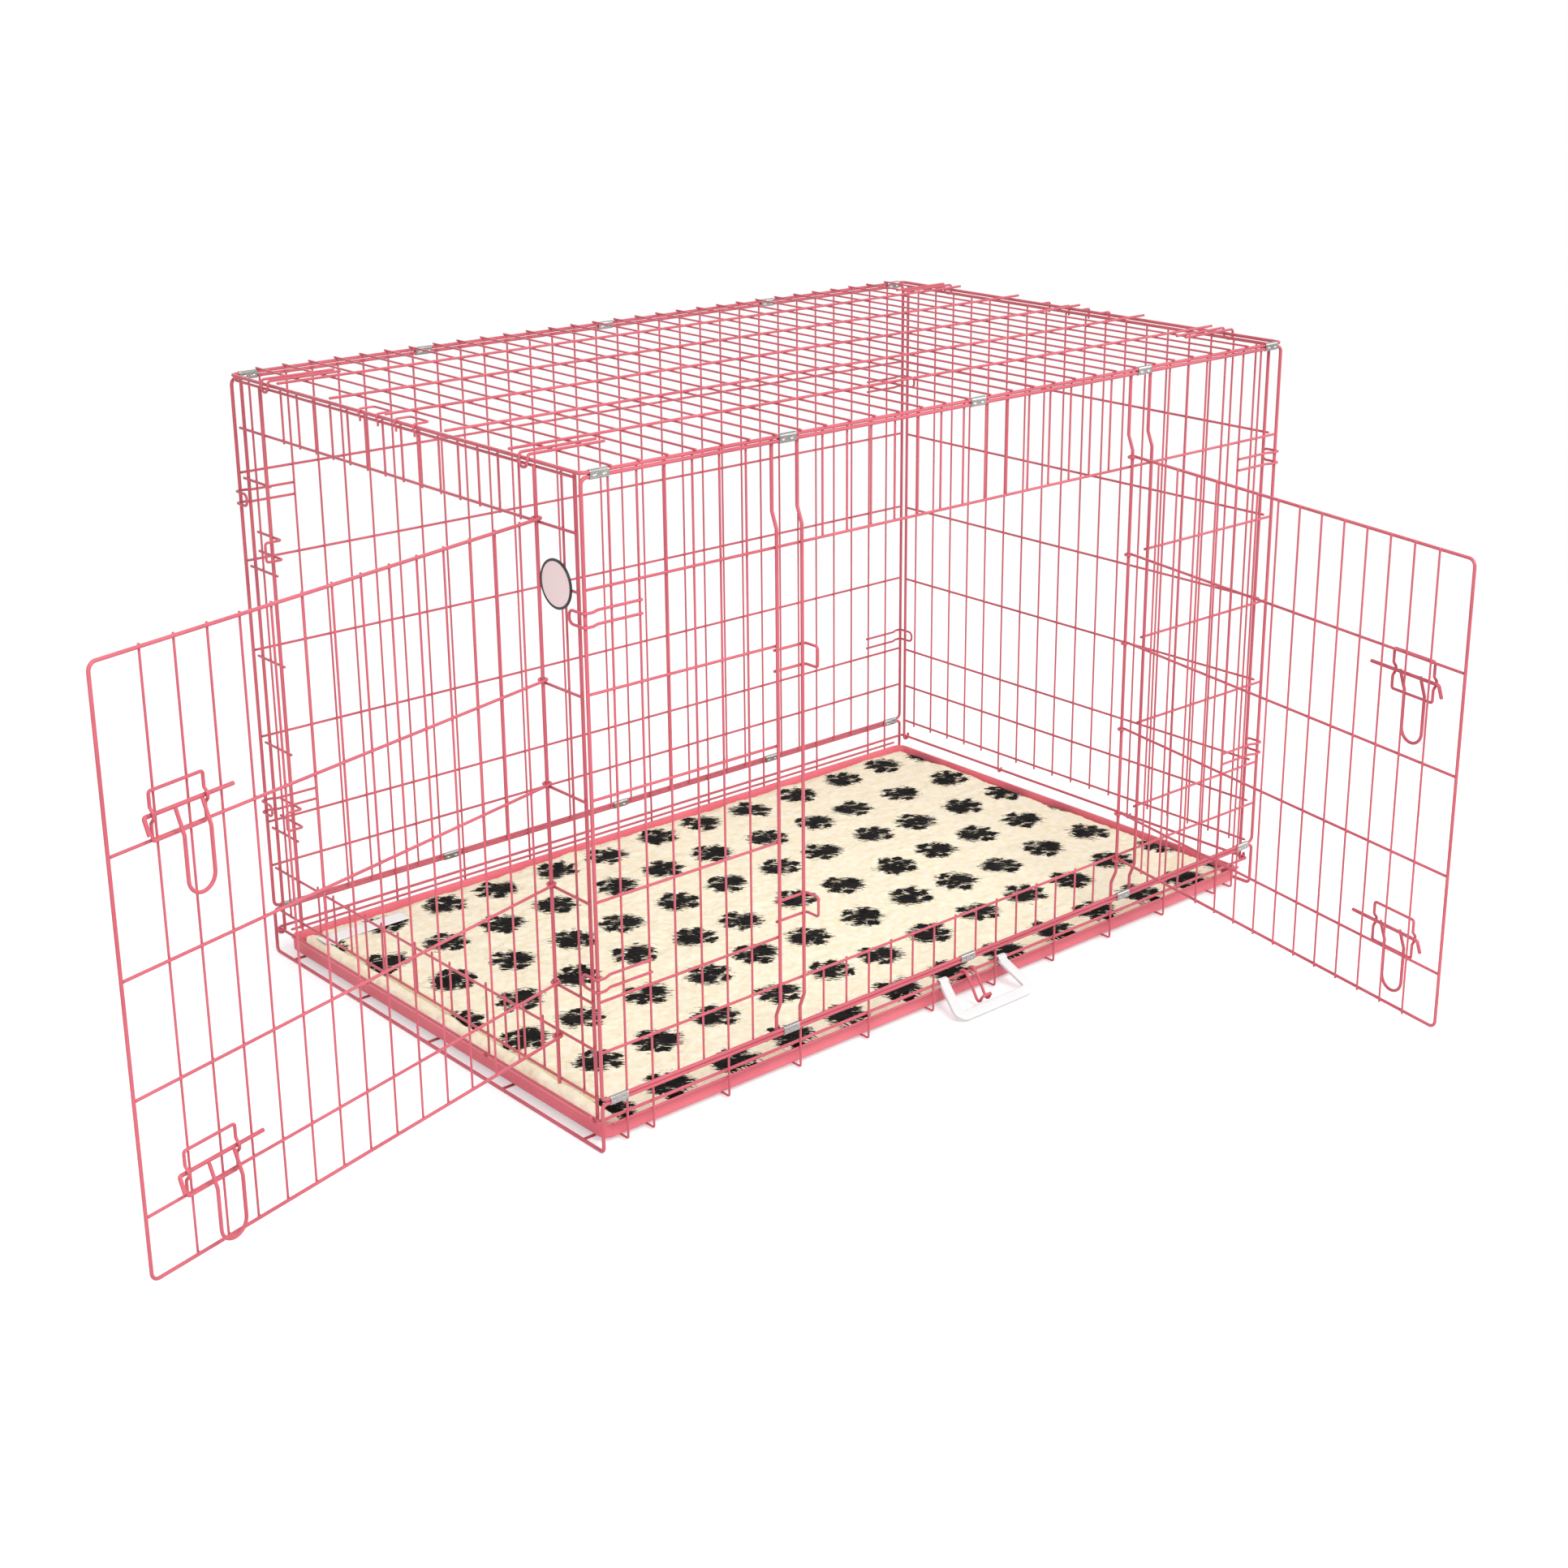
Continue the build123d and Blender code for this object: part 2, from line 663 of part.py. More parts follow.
def bolt_bracket(width, bar_z, stands):
    """A wire loop on a rail, with a bump over the bolt on each short side."""
    near, far = width - BRACKET_NEAR, width - BRACKET_NEAR - BRACKET_LENGTH
    rod_z = rod_height(bar_z, stands)
    end_z = bar_z + stands * BRACKET_HEIGHT
    bump = [
        (ROD_U, rod_z - stands * BUMP_HALF),
        (BUMP_U, rod_z - stands * BUMP_CREST),
        (BUMP_U, rod_z + stands * BUMP_CREST),
        (ROD_U, rod_z + stands * BUMP_HALF),
    ]
    middle = (near + far) / 2
    points = [(middle + BUTT_GAP / 2, ROD_U, bar_z), (near, ROD_U, bar_z)]
    points += [(near, u, z) for u, z in bump]
    points += [(near, ROD_U, end_z), (far, ROD_U, end_z)]
    points += [(far, u, z) for u, z in reversed(bump)]
    points += [(far, ROD_U, bar_z), (middle - BUTT_GAP / 2, ROD_U, bar_z)]
    return bent(points, R_BRACKET, BUMP_BEND)


def bolt_rod(width, rod_z):
    """The sliding bolt."""
    tip = width - ROD_TIP_BACK - TIP_STUB - RUN_CLEAR
    return rod((tip - ROD_LENGTH, ROD_U, rod_z), (tip, ROD_U, rod_z), R_ROD)


def bolt_handle(width, rod_z):
    """The drop handle and the bolt's bent tip, which turn together about the bolt."""
    near, far = width - LEG_NEAR, width - LEG_NEAR - LEG_SPACING
    out = LEG_U + LEG_SLANT_OUT
    half = [(LEG_U, rod_z), (out, rod_z - LEG_SLANT_DROP), (out, rod_z - HANDLE_DROP)]
    points = [(near, u, z) for u, z in half] + [(far, u, z) for u, z in reversed(half)]
    round_end = LEG_SPACING / 2 - WELD_GAP
    grip = bent(points, R_HANDLE, [HOOK_BEND, round_end, round_end, HOOK_BEND])
    slant = math.hypot(LEG_SLANT_OUT, LEG_SLANT_DROP)
    bend_s = width - ROD_TIP_BACK
    tip_points = [
        (bend_s - TIP_STUB, ROD_U, rod_z),
        (bend_s, ROD_U, rod_z),
        (
            bend_s,
            ROD_U + TIP_LENGTH * LEG_SLANT_OUT / slant,
            rod_z - TIP_LENGTH * LEG_SLANT_DROP / slant,
        ),
    ]
    return [grip, bent(tip_points, R_ROD, TIP_BEND)]


def door(prefix, place, width, top, first, last, bolts):
    """Save a door's pieces and its bolts where they hang open."""
    save(f"{prefix}_door_frame", [place * s for s in door_frame(width, top)])
    save(f"{prefix}_door_rails", [place * s for s in door_rails(width)])
    save(f"{prefix}_door_uprights", [place * s for s in door_uprights(width, top, first, last)])
    for name, bar_z, stands in bolts:
        rod_z = rod_height(bar_z, stands)
        save(f"{prefix}_{name}_bracket", [place * bolt_bracket(width, bar_z, stands)])
        save(f"{prefix}_{name}_bolt", [place * bolt_rod(width, rod_z)])
        save(f"{prefix}_{name}_handle", [place * s for s in bolt_handle(width, rod_z)])


# Sleeves, plaque, tray, mat, carry handle and fold clip

def sleeves(side, z):
    """Crimped sleeves round a pair of hinge wires, the lower of which is at z."""
    slot = R_FRAME + WELD_GAP
    places = [
        -HALF_L + SLEEVE_END_INSET,
        (length_x(SIDE_JAMB_INDEX - 1) + length_x(SIDE_JAMB_INDEX)) / 2,
        0,
    ]
    places += [-places[1], -places[0]]
    outside = SlotCenterToCenter(PAIR_STEP, 2 * (slot + SLEEVE_WALL))
    profile = outside - SlotCenterToCenter(PAIR_STEP, 2 * slot)
    rings = []
    for x in places:
        start = (x - SLEEVE_LENGTH / 2, side * HALF_W, z + PAIR_STEP / 2)
        plane = Plane(start, x_dir=(0, 0, 1), z_dir=(1, 0, 0))
        rings.append(extrude(plane * profile, SLEEVE_LENGTH).solids()[0])
    return rings


def badge():
    """A bare oval plaque on the end panel's corner strip: a dark dish and a pale inlay."""
    back = Plane((-(END_X + R_RAIL + WELD_GAP), BADGE_Y, BADGE_Z), x_dir=(0, -1, 0), z_dir=(-1, 0, 0))
    oval = Ellipse(BADGE_WIDTH / 2, BADGE_HEIGHT / 2)
    inner = Ellipse(BADGE_WIDTH / 2 - BADGE_BORDER, BADGE_HEIGHT / 2 - BADGE_BORDER)
    dish = extrude(back * oval, BADGE_THICK)
    floor = back.offset(BADGE_THICK - BADGE_RECESS)
    dish -= extrude(floor * inner, BADGE_RECESS)
    inlay = Ellipse(BADGE_WIDTH / 2 - BADGE_BORDER - BUTT_GAP, BADGE_HEIGHT / 2 - BADGE_BORDER - BUTT_GAP)
    face = extrude(floor * inlay, BADGE_RECESS / 2)
    return dish.solids()[0], face.solids()[0]


def tray_outline(grow):
    """The tray's outline, grown or shrunk all round."""
    return RectangleRounded(TRAY_LENGTH + 2 * grow, TRAY_WIDTH + 2 * grow, TRAY_CORNER + grow)


def tray():
    """A sheet-metal pan with a narrow lip."""
    floor = Plane.XY.offset(TRAY_Z)
    outer = extrude(floor * tray_outline(0), TRAY_HEIGHT)
    outer += extrude(floor.offset(TRAY_HEIGHT - TRAY_WALL) * tray_outline(TRAY_LIP), TRAY_WALL)
    hollow = extrude(floor.offset(TRAY_WALL) * tray_outline(-TRAY_WALL), TRAY_HEIGHT)
    return (outer - hollow).solids()[0]


def mat():
    """The fleece mat: a pad with a rounded, drawn-in edge, lying in the tray."""
    length = TRAY_LENGTH - 2 * (TRAY_WALL + MAT_MARGIN)
    width = TRAY_WIDTH - 2 * (TRAY_WALL + MAT_MARGIN)
    bottom = Plane.XY.offset(TRAY_Z + TRAY_WALL)
    pad = extrude(bottom * RectangleRounded(length, width, MAT_CORNER), MAT_THICKNESS)
    return fillet(pad.faces().sort_by(Axis.Z)[-1].edges(), MAT_ROUND).solids()[0]


def mat_label():
    """The sewn label on the mat, bare."""
    near_end = -TRAY_LENGTH / 2 + TRAY_WALL + MAT_MARGIN + MAT_ROUND
    x = near_end + LABEL_END_GAP + LABEL_LENGTH / 2
    z = TRAY_Z + TRAY_WALL + MAT_THICKNESS + LABEL_THICKNESS / 2
    return Pos(x, LABEL_Y, z) * Box(LABEL_LENGTH, LABEL_WIDTH, LABEL_THICKNESS)


def carry_handle():
    """A flat plastic bail, whose two collars turn on the front rim wire and whose bar lies on the floor."""
    tilt = math.radians(HANDLE_TILT)
    outward = Vector(0, -math.cos(tilt), -math.sin(tilt))
    plane = Plane((HANDLE_X, -RIM_Y, RIM_Z), x_dir=(1, 0, 0), z_dir=Vector(1, 0, 0).cross(outward))
    near, far = HANDLE_ARM_SPACING / 2, HANDLE_ARM_SPACING / 2 + HANDLE_SPLAY
    arm = HANDLE_ARM / 2
    outline = Polygon(
        (-near - arm, 0), (near + arm, 0), (far + arm, HANDLE_REACH), (-far - arm, HANDLE_REACH), align=None
    )
    window = Polygon(
        (-near + arm, -arm),
        (near - arm, -arm),
        (far - arm, HANDLE_REACH - HANDLE_ARM),
        (-far + arm, HANDLE_REACH - HANDLE_ARM),
        align=None,
    )
    outline = fillet(outline.vertices().group_by(Axis.Y)[-1], HANDLE_ARM * 0.8)
    window = fillet(window.vertices().group_by(Axis.Y)[-1], HANDLE_ARM * 0.5)
    bail = extrude(plane * (outline - window), HANDLE_THICK / 2, both=True)
    for side in (-1, 1):
        x = HANDLE_X + side * near
        bail += rod((x - arm, -RIM_Y, RIM_Z), (x + arm, -RIM_Y, RIM_Z), COLLAR_RADIUS)
    reach = near + HANDLE_ARM
    bore = rod((HANDLE_X - reach, -RIM_Y, RIM_Z), (HANDLE_X + reach, -RIM_Y, RIM_Z), R_RIM + RUN_CLEAR)
    return (bail - bore).solids()[0]


def fold_clip():
    """A wire clip hooked over the front rim wire, hanging down with its tip turned up."""
    inner = R_RIM + RUN_CLEAR + R_CLIP
    half = [
        (inner, -inner),
        (inner, inner),
        (-inner, inner),
        (-inner - CLIP_OUT / 4, -inner),
        (-CLIP_OUT, -CLIP_DROP),
        (-CLIP_OUT - CLIP_TIP_OUT, -CLIP_DROP + CLIP_TIP_RISE),
    ]
    points = [(CLIP_X - CLIP_GAP / 2, y - RIM_Y, z + RIM_Z) for y, z in half]
    points += [(CLIP_X + CLIP_GAP / 2, y - RIM_Y, z + RIM_Z) for y, z in reversed(half)]
    ring = inner - 2 * WELD_GAP
    bends = [ring, ring, HOOK_BEND, HOOK_BEND, HOOK_BEND]
    return bent(points, R_CLIP, bends + bends[::-1])


def main():
    os.makedirs("parts", exist_ok=True)
    front, back = -1, 1
    left, right = -1, 1
    jambs = [SIDE_JAMB_INDEX - 1, SIDE_JAMB_INDEX]
    jambs += [LENGTH_PITCHES - i for i in reversed(jambs)]

    save("base_frame_wire", base_frame())
    save("base_rim_wire", base_rim())
    save("base_side_wires", base_side_wires())
    save("base_floor_hoops", floor_hoops())
    save("base_floor_wires", floor_wires())

    save("front_panel_frame", side_frame(front))
    save("front_panel_uprights", side_uprights(front, jambs))
    save("front_panel_rails", side_rails(front, jambs))
    save("front_door_jambs", side_jambs(front, jambs))
    save("front_keepers", front_keepers())
    save("front_corner_hooks", corner_hooks(front))
    save("back_panel_frame", side_frame(back))
    save("back_panel_uprights", side_uprights(back, None))
    save("back_panel_rails", side_rails(back, None))
    save("back_corner_hooks", corner_hooks(back))

    save("top_panel_frame", top_frame())
    save("top_cross_wires", top_cross_wires())
    save("top_long_wires", top_long_wires())
    save("top_spring_hooks", spring_hooks())

    for name, end in (("left", left), ("right", right)):
        doorway = end == left
        save(f"{name}_end_edges", end_edges(end))
        save(f"{name}_end_uprights", end_uprights(end, doorway))
        save(f"{name}_end_rails", end_rails(end, doorway))
        save(f"{name}_end_top_tabs", top_tabs(end))
    save("left_end_jambs", end_jambs(left))
    save("left_end_keepers", end_keepers())

    for name, side in (("front", front), ("back", back)):
        save(f"{name}_top_sleeves", sleeves(side, SIDE_TOP))
        save(f"{name}_bottom_sleeves", sleeves(side, BASE_RAIL_Z))

    dish, face = badge()
    save("badge_plate", [dish])
    save("badge_face", [face])

    side_place = Pos(SIDE_HINGE_X, SIDE_HINGE_Y, 0) * Rot(0, 0, 180 + SIDE_OPEN)
    end_place = Pos(END_HINGE_X, END_HINGE_Y, 0) * Rot(0, 0, 90 + END_OPEN)
    door("side", side_place, SIDE_DOOR_WIDTH, SIDE_DOOR_TOP, SIDE_DOOR_FIRST, SIDE_DOOR_LAST, SIDE_BOLTS)
    door("end", end_place, END_DOOR_WIDTH, END_DOOR_TOP, END_DOOR_FIRST, END_DOOR_LAST, END_BOLTS)

    save("tray", [tray()])
    save("mat", [mat()])
    save("mat_label", [mat_label()])
    save("carry_handle", [carry_handle()])
    save("fold_clip", [fold_clip()])


if __name__ == "__main__":
    main()
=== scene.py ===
"""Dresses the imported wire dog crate: round coated wire, crimped sleeves, tray, fleece mat and studio."""
import json
import logging
import math
from dataclasses import dataclass, field
from enum import Enum
from typing import Iterable, Sequence, Union

import bpy
import numpy as np
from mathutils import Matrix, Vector


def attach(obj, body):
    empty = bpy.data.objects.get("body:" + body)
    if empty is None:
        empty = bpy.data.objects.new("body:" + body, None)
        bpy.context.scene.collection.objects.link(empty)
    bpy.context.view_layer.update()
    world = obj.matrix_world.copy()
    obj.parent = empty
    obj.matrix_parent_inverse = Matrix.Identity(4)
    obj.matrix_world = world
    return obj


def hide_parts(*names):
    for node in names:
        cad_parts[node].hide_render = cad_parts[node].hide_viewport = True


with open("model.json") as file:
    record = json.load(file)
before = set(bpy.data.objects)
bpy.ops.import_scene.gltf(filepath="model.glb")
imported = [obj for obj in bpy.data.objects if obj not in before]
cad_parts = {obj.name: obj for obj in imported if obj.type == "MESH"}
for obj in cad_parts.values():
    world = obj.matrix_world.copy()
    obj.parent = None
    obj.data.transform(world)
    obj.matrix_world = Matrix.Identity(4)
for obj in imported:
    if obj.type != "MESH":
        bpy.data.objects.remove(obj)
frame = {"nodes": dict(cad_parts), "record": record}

LOG = logging.getLogger("crate")
MM = 0.001
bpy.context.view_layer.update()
BODY_OF = {node: body for body, nodes in frame["record"]["behaviour"]["bodies"].items() for node in nodes}

Array = np.ndarray
Points = Sequence[Sequence[float]]
Triple = tuple[float, float, float]
Tint = tuple[float, float, float, float]
Socket = bpy.types.NodeSocket
Sockets = dict[str, Socket]
Feed = Union[Socket, float, Sequence[float]]
Inputs = dict[Union[str, int], Feed]


class Side(Enum):
    """A long side of the crate, by the sign of its Y."""

    FRONT = -1
    BACK = 1


class End(Enum):
    """A short end of the crate, by the sign of its X."""

    LEFT = -1
    RIGHT = 1


class Slot(Enum):
    """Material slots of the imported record."""

    WIRE = "pink_wire"
    TRAY = "pink_tray"
    ZINC = "zinc"
    FLEECE = "fleece"
    LABEL = "label_cloth"
    PLASTIC = "white_plastic"
    DISH = "plaque_dark"
    INLAY = "plaque_pale"


@dataclass(frozen=True)
class CrateSizes:
    """Centre lines, radii and fits of the crate in metres, the same as its solids have."""

    half_length: float = 604 * MM
    half_width: float = 383 * MM
    side_top: float = 815 * MM
    base_rail_z: float = 64 * MM
    pitches: int = 31
    r_frame: float = 2.3 * MM
    r_jamb: float = 2.25 * MM
    r_edge: float = 2.25 * MM
    r_rim: float = 2.0 * MM
    r_rail: float = 1.75 * MM
    r_upright: float = 1.4 * MM
    r_hoop: float = 1.5 * MM
    r_door_frame: float = 2.0 * MM
    r_door_upright: float = 1.3 * MM
    r_hook: float = 1.75 * MM
    weld_gap: float = 0.03 * MM
    run_clear: float = 0.4 * MM
    floor_flat: float = 0.25 * MM
    panel_gap: float = 0.6 * MM
    frame_bend: float = 8 * MM
    base_bend: float = 6 * MM
    hook_bend: float = 4 * MM
    rim_z: float = 40 * MM
    sill_z: float = 131 * MM
    rail_z: tuple[float, ...] = (196 * MM, 321 * MM, 445 * MM, 570 * MM)
    side_header_z: float = 690 * MM
    jamb_index: int = 8

    @property
    def pitch(self) -> float:
        """Spacing of the uprights and cross wires along the crate."""
        return 2 * self.half_length / self.pitches

    @property
    def pair_step(self) -> float:
        """Height between the two wires of a hinge pair."""
        return 2 * self.r_frame + self.panel_gap

    @property
    def top_z(self) -> float:
        """Height of the top panel's frame."""
        return self.side_top + self.pair_step

    @property
    def cross_z(self) -> float:
        """Height of the top panel's cross wires."""
        return self.top_z + self.r_frame + self.r_upright + self.weld_gap

    @property
    def long_z(self) -> float:
        """Height of the top panel's long wires."""
        return self.cross_z + self.r_upright + self.r_rail + self.weld_gap

    @property
    def side_bottom(self) -> float:
        """Height of a side panel's lower frame wire."""
        return self.base_rail_z + self.pair_step

    @property
    def hoop_y(self) -> float:
        """Distance of the hoops' legs from the middle."""
        return self.half_width - self.r_frame - self.r_hoop - self.weld_gap

    @property
    def rim_y(self) -> float:
        """Distance of the rim wire's long runs from the middle."""
        return self.hoop_y - self.r_hoop - self.r_rim - self.weld_gap

    @property
    def hoop_z(self) -> float:
        """Height of the hoops' floor runs."""
        return 2 * self.r_rail - self.floor_flat + self.r_hoop + self.weld_gap

    @property
    def tray_z(self) -> float:
        """Height of the tray's underside."""
        return self.hoop_z + self.r_hoop + self.run_clear

    @property
    def jambs(self) -> tuple[int, int, int, int]:
        """Wire positions of the side doorway's four jambs."""
        near = (self.jamb_index - 1, self.jamb_index)
        return (*near, self.pitches - near[1], self.pitches - near[0])

    def wire_x(self, index: Array | int) -> Array | float:
        """Where an upright or cross wire stands along the crate."""
        return index * self.pitch - self.half_length


@dataclass(frozen=True)
class WireShape:
    """How a wire's ends, butts and crossings look, mostly as shares of its radius."""

    sides: int = 12
    chamfer: float = 0.2
    collar_rows: int = 9
    collar_reach: float = 1.6
    collar_swell: float = 1.12
    collar_tip: float = 0.98
    drop_rings: int = 5
    drop_sides: int = 8
    drop_tip: float = 1.2


SIZES = CrateSizes()
SHAPE = WireShape()


# Surfaces


def unit(vectors: Array) -> Array:
    """Vectors divided by their lengths."""
    return vectors / np.maximum(np.linalg.norm(vectors, axis=-1, keepdims=True), 1e-12)


@dataclass
class Surface:
    """A mesh as arrays: points, four-sided faces and flat many-sided caps."""

    points: Array
    quads: Array
    caps: list[Array] = field(default_factory=list)

    @classmethod
    def joined(cls, parts: Iterable["Surface"]) -> "Surface":
        """One surface from several, each part's indices moved past those before it.

        Args:
            parts: the surfaces to join.

        Returns:
            A surface that holds all of them.
        """
        parts = list(parts)
        starts = np.cumsum([0] + [len(part.points) for part in parts[:-1]])
        return cls(
            np.concatenate([part.points for part in parts]),
            np.concatenate([part.quads + start for part, start in zip(parts, starts)]),
            [cap + start for part, start in zip(parts, starts) for cap in part.caps],
        )

    def turned(self, angle: float, place: Sequence[float]) -> "Surface":
        """The surface turned about Z and then moved.

        Args:
            angle: turn in radians.
            place: where the old origin goes.

        Returns:
            A new surface with the same faces.
        """
        c, s = math.cos(angle), math.sin(angle)
        spin = np.array([[c, -s, 0], [s, c, 0], [0, 0, 1]])
        return Surface(self.points @ spin.T + np.array(place), self.quads, self.caps)

    def worn_flat(self) -> "Surface":
        """The surface with what would lie under the floor pressed flat on it."""
        return Surface(np.maximum(self.points, (-np.inf, -np.inf, 0)), self.quads, self.caps)

    def to_mesh(self, name: str, crease: float) -> bpy.types.Mesh:
        """Writes the arrays into a mesh with smooth faces and sharp creases.

        Args:
            name: the mesh's name.
            crease: edges that turn by more than this angle, in radians, stay sharp.

        Returns:
            The new mesh.
        """
        mesh = bpy.data.meshes.new(name)
        corners = np.concatenate([self.quads.ravel(), *self.caps]).astype(np.int32)
        counts = np.array([4] * len(self.quads) + [len(cap) for cap in self.caps], np.int32)
        mesh.vertices.add(len(self.points))
        mesh.vertices.foreach_set("co", self.points.astype(np.float32).ravel())
        mesh.loops.add(len(corners))
        mesh.loops.foreach_set("vertex_index", corners)
        mesh.polygons.add(len(counts))
        mesh.polygons.foreach_set("loop_start", np.cumsum(counts) - counts)
        mesh.polygons.foreach_set("use_smooth", np.ones(len(counts), bool))
        mesh.update(calc_edges=True)
        mesh.validate()
        mesh.set_sharp_from_angle(angle=crease)
        return mesh


def grid_quads(rows: int, columns: int, wrap_rows: bool, wrap_columns: bool) -> Array:
    """Faces of a grid of points numbered row by row.

    Args:
        rows: number of rows.
        columns: number of points in a row.
        wrap_rows: joins the last row to the first.
        wrap_columns: joins the last point of each row to its first.

    Returns:
        An array of four indices for each face.
    """
    row = np.arange(rows if wrap_rows else rows - 1)[:, None]
    column = np.arange(columns if wrap_columns else columns - 1)[None, :]
    below, above = row * columns, (row + 1) % rows * columns
    after = (column + 1) % columns
    return np.stack([below + column, below + after, above + after, above + column], -1).reshape(-1, 4)


def rounded_path(points: Points, bends: float | Sequence[float], steps: int = 7) -> Array:
    """Straight runs with an arc at each corner.

    A corner is cut back along both runs by the bend radius times the tangent of half the turn, and an arc of
    that radius joins the cuts.

    Args:
        points: the runs' ends and corners.
        bends: one bend radius, or one for each corner.
        steps: pieces in each arc.

    Returns:
        The points of the path.
    """
    p = np.asarray(points, float)
    before, after = unit(p[1:-1] - p[:-2]), unit(p[2:] - p[1:-1])
    turn = np.arccos(np.clip((before * after).sum(1), -1, 1))
    bend = np.broadcast_to(np.asarray(bends, float), turn.shape)
    start = p[1:-1] - before * (bend * np.tan(turn / 2))[:, None]
    inward = unit(after - before * np.cos(turn)[:, None])
    angle = turn[:, None] * np.linspace(0, 1, steps + 1)
    along = np.sin(angle)[..., None] * before[:, None] + (1 - np.cos(angle))[..., None] * inward[:, None]
    arcs = start[:, None] + bend[:, None, None] * along
    return np.concatenate([p[:1], arcs.reshape(-1, 3), p[-1:]])


def carried_frames(path: Array, closed: bool) -> tuple[Array, Array, Array]:
    """Directions along a path: its tangent, and a normal carried from point to point with the least turning.

    Args:
        path: points of the path.
        closed: whether the last point joins the first.

    Returns:
        Tangents, normals and binormals, one of each for every point.
    """
    ahead = unit(np.roll(path, -1, 0) - path)
    behind = np.roll(ahead, 1, 0)
    if not closed:
        ahead[-1], behind[0] = behind[-1], ahead[0]
    tangents = unit(ahead + behind)
    normal = np.eye(3)[np.argmin(np.abs(tangents[0]))]
    normals = np.empty_like(tangents)
    for index, tangent in enumerate(tangents):
        normal = unit(normal - tangent * (normal @ tangent))
        normals[index] = normal
    return tangents, normals, np.cross(tangents, normals)


def skin(
    path: Array, sections: Array, across: Array, over: Array, closed: bool
) -> Surface:
    """A tube through sections that stand along a path.

    Each point is the path's point plus the section's two coordinates along two directions.

    Args:
        path: points of the path.
        sections: one section for each point, or one for all.
        across: direction of the sections' first coordinate, for each point.
        over: direction of their second coordinate, for each point.
        closed: whether the path is a loop.

    Returns:
        The closed surface.
    """
    points = path[:, None] + sections[..., :1] * across[:, None] + sections[..., 1:] * over[:, None]
    rows, columns = points.shape[:2]
    caps = [] if closed else [np.arange(columns)[::-1], np.arange(columns) + (rows - 1) * columns]
    return Surface(points.reshape(-1, 3), grid_quads(rows, columns, closed, True), caps)


def sweep(path: Array, section: Array, closed: bool = False, chamfer: float = 0.0) -> Surface:
    """A section carried along a path, with flat ends behind a small chamfer.

    Args:
        path: points of the path.
        section: points of the closed section, anticlockwise.
        closed: whether the path is a loop.
        chamfer: how far the ends are broken, along the path and across it.

    Returns:
        The closed surface.
    """
    share = np.ones(len(path))
    if not closed:
        first, last = unit(path[1] - path[0]) * chamfer, unit(path[-1] - path[-2]) * chamfer
        path = np.concatenate([path[:1], path[:1] + first, path[1:-1], path[-1:] - last, path[-1:]])
        narrow = 1 - chamfer / np.linalg.norm(section, axis=1).max()
        share = np.concatenate([[narrow, 1], share[1:-1], [1, narrow]])
    _, normals, binormals = carried_frames(path, closed)
    return skin(path, share[:, None, None] * section[None], normals, binormals, closed)


def circle(radius: float, sides: int = SHAPE.sides) -> Array:
    """A round section."""
    angle = np.arange(sides) * 2 * np.pi / sides
    return radius * np.stack([np.cos(angle), np.sin(angle)], -1)


def soft_oblong(half: tuple[float, float], powers: tuple[float, float], count: int) -> Array:
    """A rounded oblong: a turn's cosine and sine, each raised to a power below one and scaled.

    Args:
        half: half its extent along each coordinate.
        powers: how soft it is along each coordinate, where less is squarer.
        count: points round it.

    Returns:
        The section's points.
    """
    angle = np.arange(count) * 2 * np.pi / count
    turn = np.stack([np.cos(angle), np.sin(angle)], -1)
    return np.sign(turn) * np.abs(turn) ** np.asarray(powers) * np.asarray(half)


def cut_wire(path: Array, radius: float) -> Surface:
    """A cut length of round wire along a path."""
    return sweep(path, circle(radius), chamfer=SHAPE.chamfer * radius)


def wire(points: Points, radius: float, bends: float | Sequence[float] = 0.0) -> Surface:
    """A cut length of round wire through points, with a bend at each inner point."""
    return cut_wire(rounded_path(points, bends) if len(points) > 2 else np.asarray(points, float), radius)


def wire_loop(corners: Points, radius: float, bend: float) -> Surface:
    """A closed ring of round wire, butt welded in the middle of its first side.

    Args:
        corners: the ring's corners.
        radius: the wire's radius.
        bend: bend radius of every corner.

    Returns:
        The ring, with a low collar of weld at the butt.
    """
    p = np.asarray(corners, float)
    middle = (p[0] + p[1]) / 2
    path = rounded_path(np.concatenate([[middle], p[1:], p[:1], [middle]]), bend)[:-1]
    step = np.linspace(-1, 1, SHAPE.collar_rows)
    collar = middle + step[:, None] * SHAPE.collar_reach * radius * unit(p[1] - p[0])
    swell = SHAPE.collar_swell * np.sqrt(1 - (SHAPE.collar_tip * step) ** 2)
    _, normals, binormals = carried_frames(collar, False)
    bead = skin(collar, circle(radius)[None] * swell[:, None, None], normals, binormals, False)
    return Surface.joined([sweep(path, circle(radius), closed=True), bead])


